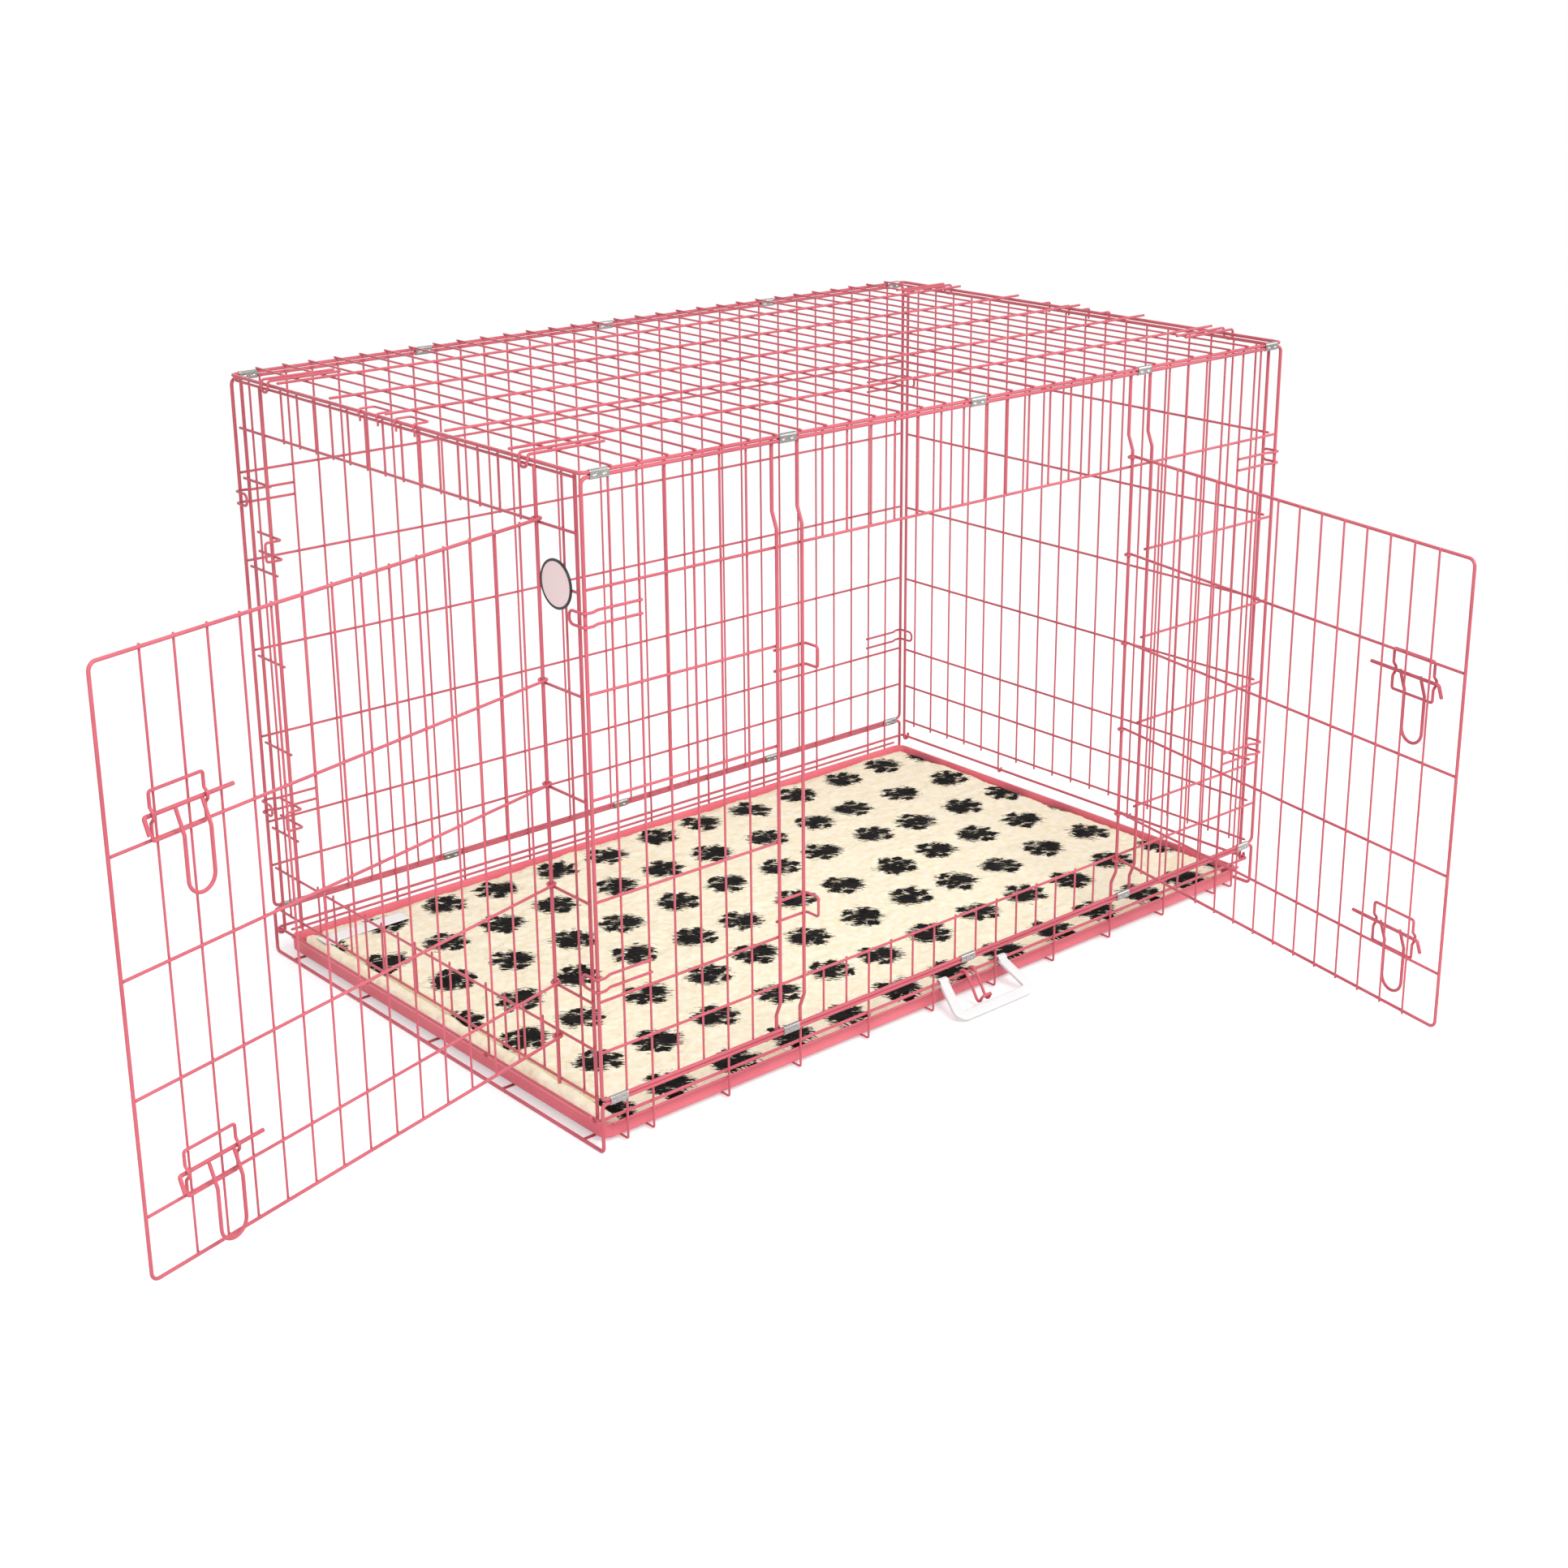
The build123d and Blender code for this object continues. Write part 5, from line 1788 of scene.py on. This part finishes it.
def dish(outlines: Sequence[Array], heights: Sequence[float]) -> Surface:
    """A closed shell from outlines stacked at heights, with flat faces inside the first and last.

    The outlines run from the middle of the upper face, out over the rim and back under to the lower face.

    Args:
        outlines: rows of X and Y, all with the same number of points.
        heights: the height of each outline.

    Returns:
        The closed surface.
    """
    rings = np.stack([np.column_stack([line, np.full(len(line), z)]) for line, z in zip(outlines, heights)])
    rows, columns = rings.shape[:2]
    quads = grid_quads(rows, columns, False, True)[:, ::-1]
    caps = [np.arange(columns), np.arange(columns)[::-1] + (rows - 1) * columns]
    return Surface(rings.reshape(-1, 3), quads, caps)


@dataclass
class Tray:
    """A sheet-metal pan with a rolled lip."""

    half_length: float = 592 * MM
    half_width: float = 368.45 * MM
    height: float = 20 * MM
    wall: float = 1 * MM
    lip: float = 2.5 * MM
    corner: float = 14 * MM
    fold: float = 3 * MM
    floor_inset: float = 60 * MM
    least_corner: float = 2 * MM
    fold_steps: int = 5
    roll_steps: int = 7
    crease: float = math.radians(50)

    def outline(self, grow: float) -> Array:
        """The pan's outline, grown or shrunk."""
        corner = max(self.corner + grow, self.least_corner)
        return rounded_outline(self.half_length + grow, self.half_width + grow, corner)

    def profile(self) -> list[tuple[float, float]]:
        """How far out and how high the sheet is, from the inner floor over the lip to the underside.

        Returns:
            Pairs of distance outward and height.
        """
        low, high = SIZES.tray_z, SIZES.tray_z + self.height
        turn = np.linspace(0, np.pi / 2, self.fold_steps)
        fold, wall = self.fold, self.wall
        inner = [(fold * math.sin(a) - fold - wall, low + wall + fold * (1 - math.cos(a))) for a in turn]
        outer = [(-fold * (1 - math.cos(a)), low + fold * (1 - math.sin(a))) for a in turn]
        edge = self.wall / 2
        roll = np.linspace(np.pi / 2, -np.pi / 2, self.roll_steps)
        rolled = [(self.lip - edge + edge * math.cos(a), high - edge + edge * math.sin(a)) for a in roll]
        top = [(-self.wall, high - edge), (-self.wall + edge / 2, high - edge / 4), (0, high)]
        under = [(edge / 2, high - self.wall), (0, high - self.wall - edge)]
        inset = -self.floor_inset
        return [(inset, low + self.wall), *inner, *top, *rolled, *under, *outer, (inset, low)]

    def build(self) -> None:
        """Makes the tray."""
        profile = self.profile()
        shell = dish([self.outline(grow) for grow, _ in profile], [z for _, z in profile])
        Workshop.piece("tray_pan", shell, Slot.TRAY, BODY_OF["tray"], ["tray"], self.crease)


@dataclass
class FleeceMat:
    """The fleece mat: a crowned pad with soft uneven edges, a hem along its left end and a sewn label."""

    half_length: float = 586 * MM
    half_width: float = 362.45 * MM
    thickness: float = 20 * MM
    corner: float = 34 * MM
    columns: int = 400
    rows: int = 240
    edge_roll: float = 20 * MM
    edge_wander: float = 2.2 * MM
    seam_height: float = 7 * MM
    swell: float = 1.3 * MM
    tuft: float = 2.2 * MM
    tuft_cells: tuple[int, ...] = (14, 8, 5, 3)
    pile: float = 0.9 * MM
    hem_inset: float = 30 * MM
    hem_width: float = 5 * MM
    hem_depth: float = 6 * MM
    label_x: float = -502 * MM
    label_y: float = 318.45 * MM
    label_length: float = 136 * MM
    label_width: float = 28 * MM
    label_lift: float = 2.2 * MM
    stitch_pitch: float = 5 * MM
    stitch_length: float = 3.2 * MM
    stitch_radius: float = 0.25 * MM
    seed: int = 7
    tray_wall: float = 1 * MM
    loose_share: float = 0.35
    tuft_fade: float = 0.25
    wander_from: float = 0.9
    swell_waves: tuple[Triple, ...] = ((11.3, 4.1, 0.0), (-6.2, 17.9, 1.7), (29.0, 13.0, 0.6))
    edge_waves: tuple[tuple[int, float], ...] = ((9, 0.4), (23, 2.1), (41, 4.0))
    skirt: tuple[tuple[float, float], ...] = ((0.2 * MM, 3.5 * MM), (2.5 * MM, 0.8 * MM), (6 * MM, 0.0))
    label_grid: tuple[int, int] = (13, 49)
    label_curl: float = 1.2 * MM
    label_thickness: float = 0.4 * MM
    stitch_inset: float = 2 * MM
    stitch_margin: float = 4 * MM
    stitch_arch: float = 0.35 * MM
    stitch_lift: float = 0.3 * MM
    stitch_profile: tuple[float, ...] = (-1, 0.6, 1, 0.6, -1)
    stitch_sides: int = 6

    @property
    def bottom(self) -> float:
        """Height of the tray's inner floor, on which the mat lies."""
        return SIZES.tray_z + self.tray_wall

    def plan(self, s: Array, t: Array) -> tuple[Array, Array]:
        """Plan position of grid parameters from -1 to 1, each corner square drawn into a quarter disc.

        Args:
            s: parameter along the mat.
            t: parameter across it.

        Returns:
            X and Y.
        """
        x, y = s * self.half_length, t * self.half_width
        dx = np.maximum(np.abs(x) - self.half_length + self.corner, 0) / self.corner
        dy = np.maximum(np.abs(y) - self.half_width + self.corner, 0) / self.corner
        pull_x = self.corner * dx * (1 - np.sqrt(1 - dy**2 / 2))
        pull_y = self.corner * dy * (1 - np.sqrt(1 - dx**2 / 2))
        return x - np.sign(x) * pull_x, y - np.sign(y) * pull_y

    def crown(self, x: Array, y: Array) -> Array:
        """Height of the fleece without its pile.

        The top is a quarter ellipse over the edge roll, with slow swells of a few long waves on it, and a
        groove and a roll along the hem at the left end.

        Args:
            x: place along the crate.
            y: place across it.

        Returns:
            Heights in metres.
        """
        along, across = self.half_length - np.abs(x), self.half_width - np.abs(y)
        near = np.minimum(np.minimum(along, across), self.edge_roll) / self.edge_roll
        rise = np.sqrt(np.clip(1 - (1 - np.clip(near, 0, 1)) ** 2, 0, 1))
        waves = sum(np.sin(a * x + b * y + shift) for a, b, shift in self.swell_waves)
        top = self.thickness - self.swell - self.tuft + self.swell / len(self.swell_waves) * waves
        from_end = x + self.half_length
        groove = self.hem_depth * np.exp(-(((from_end - self.hem_inset) / self.hem_width) ** 2))
        return self.bottom + self.seam_height + (top - self.seam_height) * rise - groove * rise

    def wander(self, angle: Array) -> Array:
        """How far the uneven edge is drawn in round the mat, from 0 to 1."""
        waves = sum(np.sin(count * angle + shift) for count, shift in self.edge_waves)
        return 0.5 + waves / (2 * len(self.edge_waves))

    def tufts(self, shape: tuple[int, int]) -> Array:
        """Clumps of pile over the grid.

        Random heights on grids from coarse to fine, each eased between its points, are summed with less of
        the finer ones, and a little loose fibre is added.

        Args:
            shape: rows and columns of the mat's grid.

        Returns:
            Heights in metres, from below zero to above.
        """
        chance = np.random.default_rng(self.seed)
        total = self.loose_share * self.pile * np.clip(chance.normal(size=shape), -2, 2)
        for cell in self.tuft_cells:
            rows, columns = (np.arange(count) / cell for count in shape)
            coarse = chance.uniform(-1, 1, (int(rows[-1]) + 2, int(columns[-1]) + 2))
            r, c = rows.astype(int)[:, None], columns.astype(int)[None, :]
            u, v = (rows % 1)[:, None], (columns % 1)[None, :]
            u, v = u * u * (3 - 2 * u), v * v * (3 - 2 * v)
            low = coarse[r, c] * (1 - v) + coarse[r, c + 1] * v
            high = coarse[r + 1, c] * (1 - v) + coarse[r + 1, c + 1] * v
            share = self.tuft * (cell / self.tuft_cells[0]) ** self.tuft_fade / 2
            total = total + share * (low * (1 - u) + high * u)
        return total

    def shape(self) -> Surface:
        """The whole pad: the napped top, a rolled skirt and a flat underside.

        Returns:
            The pad.
        """
        t, s = np.meshgrid(np.linspace(-1, 1, self.rows), np.linspace(-1, 1, self.columns), indexing="ij")
        x, y = self.plan(s, t)
        z = self.crown(x, y)
        rim = np.maximum(np.abs(s), np.abs(t))
        z = z + self.tufts(x.shape) * (rim < 1)
        near_edge = np.clip((rim - self.wander_from) / (1 - self.wander_from), 0, 1)
        draw = self.edge_wander * self.wander(np.arctan2(t, s)) * near_edge
        x, y = x * (1 - draw / self.half_length), y * (1 - draw / self.half_width)
        top = np.stack([x, y, z], -1)
        index = np.arange(x.size).reshape(x.shape)
        border = np.concatenate([index[0, :-1], index[:-1, -1], index[-1, :0:-1], index[:0:-1, 0]])
        edge = top.reshape(-1, 3)[border]
        skirts = []
        for inset, height in self.skirt:
            ring = edge * (1 - inset / self.half_width, 1 - inset / self.half_width, 0)
            skirts.append(ring + (0, 0, self.bottom + height))
        count = len(border)
        columns = np.arange(count)
        quads = [grid_quads(self.rows, self.columns, False, False)]
        rings = [border, *(x.size + columns + count * level for level in range(len(skirts)))]
        for upper, lower in zip(rings, rings[1:]):
            quads.append(np.stack([lower, np.roll(lower, -1), np.roll(upper, -1), upper], -1))
        points = np.concatenate([top.reshape(-1, 3), *skirts])
        return Surface(points, np.concatenate(quads), [rings[-1][::-1]])

    def label_height(self, x: Array, y: Array) -> Array:
        """Height of the label's middle: the crown below it, the pile, and a little lift at its free end."""
        free = np.clip((x - self.label_x) / self.label_length, 0, 1)
        return self.crown(x, y) + self.pile / 2 + self.label_lift + self.label_curl * free**2

    def label(self) -> Surface:
        """The bare label: a strip laid on the crown.

        Returns:
            The label.
        """
        rows, columns = self.label_grid
        y, x = np.meshgrid(np.linspace(-1, 1, rows), np.linspace(-1, 1, columns), indexing="ij")
        x = self.label_x + x * self.label_length / 2
        y = self.label_y + y * self.label_width / 2
        points = np.stack([x, y, self.label_height(x, y)], -1)
        return Surface(points.reshape(-1, 3), grid_quads(rows, columns, False, False))

    def stitches(self) -> Surface:
        """Two lines of thread along the label's long edges.

        Returns:
            All the stitches.
        """
        inset = self.label_width / 2 - self.stitch_inset
        reach = self.label_length / 2 - self.stitch_margin
        arch = self.stitch_arch * np.array(self.stitch_profile)
        threads = []
        for side in (-1, 1):
            for start in np.arange(-reach, reach, self.stitch_pitch):
                x = self.label_x + start + np.linspace(0, self.stitch_length, len(arch))
                y = np.full_like(x, self.label_y + side * inset)
                z = self.label_height(x, y) + arch + self.stitch_lift
                threads.append(sweep(np.stack([x, y, z], -1), circle(self.stitch_radius, self.stitch_sides)))
        return Surface.joined(threads)

    def build(self) -> None:
        """Makes the mat, its label and the label's stitches."""
        body = BODY_OF["mat"]
        pad = Workshop.piece("fleece_mat", self.shape(), Slot.FLEECE, body, ["mat"], math.pi)
        label = Workshop.piece("fleece_mat_label", self.label(), Slot.LABEL, body, ["mat_label"])
        cloth = label.modifiers.new("cloth thickness", "SOLIDIFY")
        cloth.thickness = self.label_thickness
        cloth.offset = 0.0
        thread = Workshop.piece("fleece_mat_label_stitches", self.stitches(), Slot.LABEL, body)


@dataclass
class CarryHandle:
    """The white plastic bail: a flat strap between two collars that turn on the front rim wire."""

    middle_x: float = 17.5 * MM
    spacing: float = 111 * MM
    splay: float = 12 * MM
    breadth: float = 15 * MM
    thickness: float = 6 * MM
    reach: float = 64 * MM
    tilt: float = math.radians(35)
    bend: float = 9.75 * MM
    bend_steps: int = 9
    strap_points: int = 28
    strap_powers: tuple[float, float] = (0.4, 0.4)
    root_share: float = 0.75
    collar_radius: float = 5.5 * MM
    collar_points: int = 24
    collar_rows: int = 32
    collar_powers: tuple[float, float] = (0.35, 0.5)

    def strap(self) -> Surface:
        """The strap, carried along its bent middle line in the tilted plane.

        Returns:
            The strap.
        """
        outward = np.array([0, -math.cos(self.tilt), -math.sin(self.tilt)])
        hub = np.array([self.middle_x, -SIZES.rim_y, SIZES.rim_z])
        near, far = self.spacing / 2, self.spacing / 2 + self.splay
        start, stop = self.collar_radius * self.root_share, self.reach - self.breadth / 2
        corners = [(-near, start), (-far, stop), (far, stop), (near, start)]
        places = [hub + np.array([a, 0, 0]) + b * outward for a, b in corners]
        path = rounded_path(places, self.bend, self.bend_steps)
        tangents = unit(np.gradient(path, axis=0))
        normal = np.cross([1.0, 0, 0], outward)
        across = np.cross(tangents, normal)
        section = soft_oblong((self.thickness / 2, self.breadth / 2), self.strap_powers, self.strap_points)
        return skin(path, section[None], np.broadcast_to(normal, path.shape), across, False)

    def collar(self, x: float) -> Surface:
        """A soft-edged ring round the rim wire: a rounded oblong turned about the wire.

        Args:
            x: where its middle is along the crate.

        Returns:
            The ring.
        """
        bore = SIZES.r_rim + SIZES.run_clear
        middle, half = (self.collar_radius + bore) / 2, (self.collar_radius - bore) / 2
        along, depth = soft_oblong((self.breadth / 2, half), self.collar_powers, self.collar_points).T
        radius = middle + depth
        turn = (np.arange(self.collar_rows) * 2 * np.pi / self.collar_rows)[:, None]
        grid = (self.collar_rows, self.collar_points)
        points = np.stack(
            [
                np.broadcast_to(x + along, grid),
                -SIZES.rim_y + radius * np.cos(turn),
                SIZES.rim_z + radius * np.sin(turn),
            ],
            -1,
        )
        return Surface(points.reshape(-1, 3), grid_quads(*grid, True, True))

    def build(self) -> None:
        """Makes the bail as one moulding."""
        parts = [self.strap()]
        parts += [self.collar(self.middle_x + side * self.spacing / 2) for side in (-1, 1)]
        body = BODY_OF["carry_handle"]
        Workshop.piece("carry_handle_bail", Surface.joined(parts), Slot.PLASTIC, body, ["carry_handle"])


@dataclass
class Plaque:
    """A bare oval plaque on the left end's corner strip: a dark dish with a domed pale inlay."""

    half_width: float = 29 * MM
    half_height: float = 29 * MM
    y: float = -334 * MM
    z: float = 688 * MM
    thickness: float = 2.4 * MM
    border: float = 3 * MM
    recess: float = 0.8 * MM
    dome: float = 0.7 * MM
    dome_round: float = 0.9
    steps: int = 72
    rim_steps: int = 13
    rim_power: float = 0.6
    edge_break: float = 0.3 * MM
    inlay_gap: float = 0.1 * MM
    inlay_lift: float = 0.02 * MM
    inlay_rows: tuple[float, ...] = (0.05, 0.3, 0.55, 0.75, 0.9, 0.97, 1.0)

    def oval(self, grow: float) -> Array:
        """The plaque's outline, grown or shrunk.

        Args:
            grow: how far outward.

        Returns:
            Its points.
        """
        angle = np.arange(self.steps) * 2 * np.pi / self.steps
        across, up = self.half_width + grow, self.half_height + grow
        return np.stack([across * np.cos(angle), up * np.sin(angle)], -1)

    def stood_up(self, flat: Surface) -> Surface:
        """A lying surface stood on the end panel: its X goes to -Y, its Y to Z and its Z outward to -X.

        Args:
            flat: the lying surface.

        Returns:
            A new surface with the same faces.
        """
        back = -(SIZES.half_length - SIZES.panel_gap + SIZES.r_rail + SIZES.weld_gap)
        p = flat.points
        points = np.stack([back - p[:, 2], self.y - p[:, 0], self.z + p[:, 1]], -1)
        return Surface(points, flat.quads, flat.caps)

    def dish_shell(self) -> Surface:
        """The dark dish, with a rounded rim round a sunk floor.

        Returns:
            The dish.
        """
        floor, top = self.thickness - self.recess, self.thickness
        half, inside, edge = self.border / 2, -2 * self.border, self.edge_break
        turn = np.linspace(0, np.pi, self.rim_steps)
        rise = floor + (top - floor) * np.abs(np.sin(turn)) ** self.rim_power
        rim = zip(-half - half * np.cos(turn), rise)
        profile = [(inside, floor), *rim, (0, edge), (-edge, 0), (inside, 0)]
        return dish([self.oval(grow) for grow, _ in profile], [z for _, z in profile])

    def inlay_shell(self) -> Surface:
        """The pale inlay: a low dome of ovals, with a flat back.

        Returns:
            The inlay.
        """
        floor = self.thickness - self.recess
        share = np.array(self.inlay_rows)
        margin = self.border + self.inlay_gap
        outlines = [self.oval((s - 1) * (self.half_height - margin) - margin) for s in share]
        heights = floor + self.dome * np.sqrt(1 - self.dome_round * share**2)
        back = floor + self.inlay_lift
        return dish([*outlines, outlines[-1], outlines[0]], [*heights, back, back])

    def build(self) -> None:
        """Makes the dish and the inlay."""
        body = BODY_OF["badge_plate"]
        Workshop.piece("plaque_dish", self.stood_up(self.dish_shell()), Slot.DISH, body, ["badge_plate"])
        Workshop.piece("plaque_inlay", self.stood_up(self.inlay_shell()), Slot.INLAY, body, ["badge_face"])


# Studio


@dataclass(frozen=True)
class SoftBox:
    """A square lamp: its name, place, side in metres and power in watts."""

    name: str
    place: Triple
    side: float
    watts: float


@dataclass
class Studio:
    """Pale floor, soft light and the camera at the photograph's angle."""

    picture: float = 1932.0
    focal: float = 2874.3
    centre: tuple[float, float] = (1033.8, 841.6)
    position: Triple = (-2.0357, -2.3772, 1.3857)
    yaw: float = 0.8351
    pitch: float = -0.3173
    sensor: float = 36.0
    clip_end: float = 200.0
    floor_half: float = 6.0
    floor_fade: tuple[float, float] = (1.3, 2.6)
    floor_tint: Tint = (0.74, 0.74, 0.74, 1)
    floor_roughness: float = 0.9
    floor_glow: float = 0.42
    sky_light: float = 0.47
    target: Triple = (0, 0, 0.4)
    lamps: tuple[SoftBox, ...] = (
        SoftBox("key box", (-0.8, -3.0, 3.1), 1.8, 114.0),
        SoftBox("fill box", (3.0, -2.6, 2.4), 2.4, 58.0),
        SoftBox("left box", (-3.0, -1.2, 1.0), 2.0, 24.0),
        SoftBox("back box", (1.2, 3.2, 2.8), 2.4, 36.0),
    )

    def camera(self) -> None:
        """A camera with the fitted place, aim, lens and shift."""
        data = bpy.data.cameras.new("photo camera")
        data.sensor_width = self.sensor
        data.lens = self.focal / self.picture * self.sensor
        data.shift_x = (self.picture / 2 - self.centre[0]) / self.picture
        data.shift_y = (self.centre[1] - self.picture / 2) / self.picture
        data.clip_end = self.clip_end
        camera = bpy.data.objects.new("photo camera", data)
        bpy.context.scene.collection.objects.link(camera)
        flat = math.cos(self.pitch)
        aim = Vector((flat * math.cos(self.yaw), flat * math.sin(self.yaw), math.sin(self.pitch)))
        camera.location = self.position
        camera.rotation_euler = aim.to_track_quat("-Z", "Y").to_euler()
        bpy.context.scene.camera = camera

    @staticmethod
    def seen(nodes: Nodes) -> Socket:
        """One where the camera, a reflection or a clear piece looks at the background, and else nothing.

        Args:
            nodes: the tree of the floor or of the surround.

        Returns:
            The socket with that value.
        """
        path = nodes.add("ShaderNodeLightPath").outputs
        direct = nodes.math("MAXIMUM", path["Is Camera Ray"], path["Is Glossy Ray"])
        return nodes.math("MAXIMUM", direct, path["Is Transmission Ray"])

    def floor(self) -> None:
        """A pale floor that keeps the crate's shadow and fades into the white surround."""
        h = self.floor_half
        corners = np.array([(-h, -h, 0), (h, -h, 0), (h, h, 0), (-h, h, 0)], float)
        mesh = Surface(corners, np.array([[0, 1, 2, 3]])).to_mesh("studio_floor", math.pi)
        floor = bpy.data.objects.new("studio_floor", mesh)
        bpy.context.scene.collection.objects.link(floor)
        paint = bpy.data.materials.new("pale floor")
        paint.use_nodes = True
        nodes = Nodes(paint.node_tree)
        shader = paint.node_tree.nodes["Principled BSDF"]
        shader.inputs["Base Color"].default_value = self.floor_tint
        shader.inputs["Roughness"].default_value = self.floor_roughness
        shader.inputs["Specular IOR Level"].default_value = 0.0
        shader.inputs["Emission Color"].default_value = (1, 1, 1, 1)
        glow = nodes.ramp(self.seen(nodes), 0.0, 1.0, 0.0, self.floor_glow)
        paint.node_tree.links.new(glow, shader.inputs["Emission Strength"])
        reach = nodes.vector("LENGTH", nodes.add("ShaderNodeTexCoord").outputs["Object"])
        fade = nodes.ramp(reach, *self.floor_fade, 1.0, 0.0)
        paint.node_tree.links.new(fade, shader.inputs["Alpha"])
        mesh.materials.append(paint)

    def light(self, box: SoftBox) -> None:
        """Sets up a soft box that looks at the crate's middle.

        Args:
            box: the lamp.
        """
        data = bpy.data.lights.new(box.name, "AREA")
        data.size = box.side
        data.energy = box.watts
        lamp = bpy.data.objects.new(box.name, data)
        bpy.context.scene.collection.objects.link(lamp)
        lamp.location = box.place
        lamp.rotation_euler = (Vector(self.target) - Vector(box.place)).to_track_quat("-Z", "Y").to_euler()

    def sky(self) -> None:
        """An even pale surround, plain white where the camera sees it."""
        world = bpy.data.worlds.new("studio surround")
        bpy.context.scene.world = world
        world.use_nodes = True
        world.node_tree.nodes.clear()
        nodes = Nodes(world.node_tree)
        level = nodes.ramp(self.seen(nodes), 0.0, 1.0, self.sky_light, 1.0)
        white = nodes.add("ShaderNodeBackground", {"Color": (1, 1, 1, 1), "Strength": level})
        nodes.add("ShaderNodeOutputWorld", {"Surface": white.outputs[0]})

    def build(self) -> None:
        """Sets up the studio."""
        bpy.context.scene.view_settings.view_transform = "Standard"
        self.camera()
        self.floor()
        self.sky()
        for box in self.lamps:
            self.light(box)


def main() -> None:
    """Builds the studio and then the crate, sub-assembly by sub-assembly."""
    logging.basicConfig(level=logging.INFO, format="%(name)s: %(message)s")
    Studio().build()
    Base().build()
    SidePanel(Side.FRONT, doorway=True).build()
    SidePanel(Side.BACK, doorway=False).build()
    Workshop.dress_node("front_keepers", Slot.WIRE)
    TopPanel().build()
    EndPanel(End.LEFT, doorway=True).build()
    EndPanel(End.RIGHT, doorway=False).build()
    Door(
        name="side",
        width=612 * MM,
        top=704 * MM,
        first=51 * MM,
        last=54 * MM,
        hinge=(SIZES.half_length - SIZES.jamb_index * SIZES.pitch, -386.48 * MM),
        heading=math.radians(180 + 79),
    ).build()
    Door(
        name="end",
        width=622 * MM,
        top=757 * MM,
        first=61 * MM,
        last=30.1 * MM,
        hinge=(-607.43 * MM, -302.625 * MM),
        heading=math.radians(90 + 105),
    ).build()
    Sleeves().build()
    Tray().build()
    FleeceMat().build()
    CarryHandle().build()
    Workshop.dress_node("fold_clip", Slot.WIRE)
    Plaque().build()


if __name__ == "__main__":
    main()
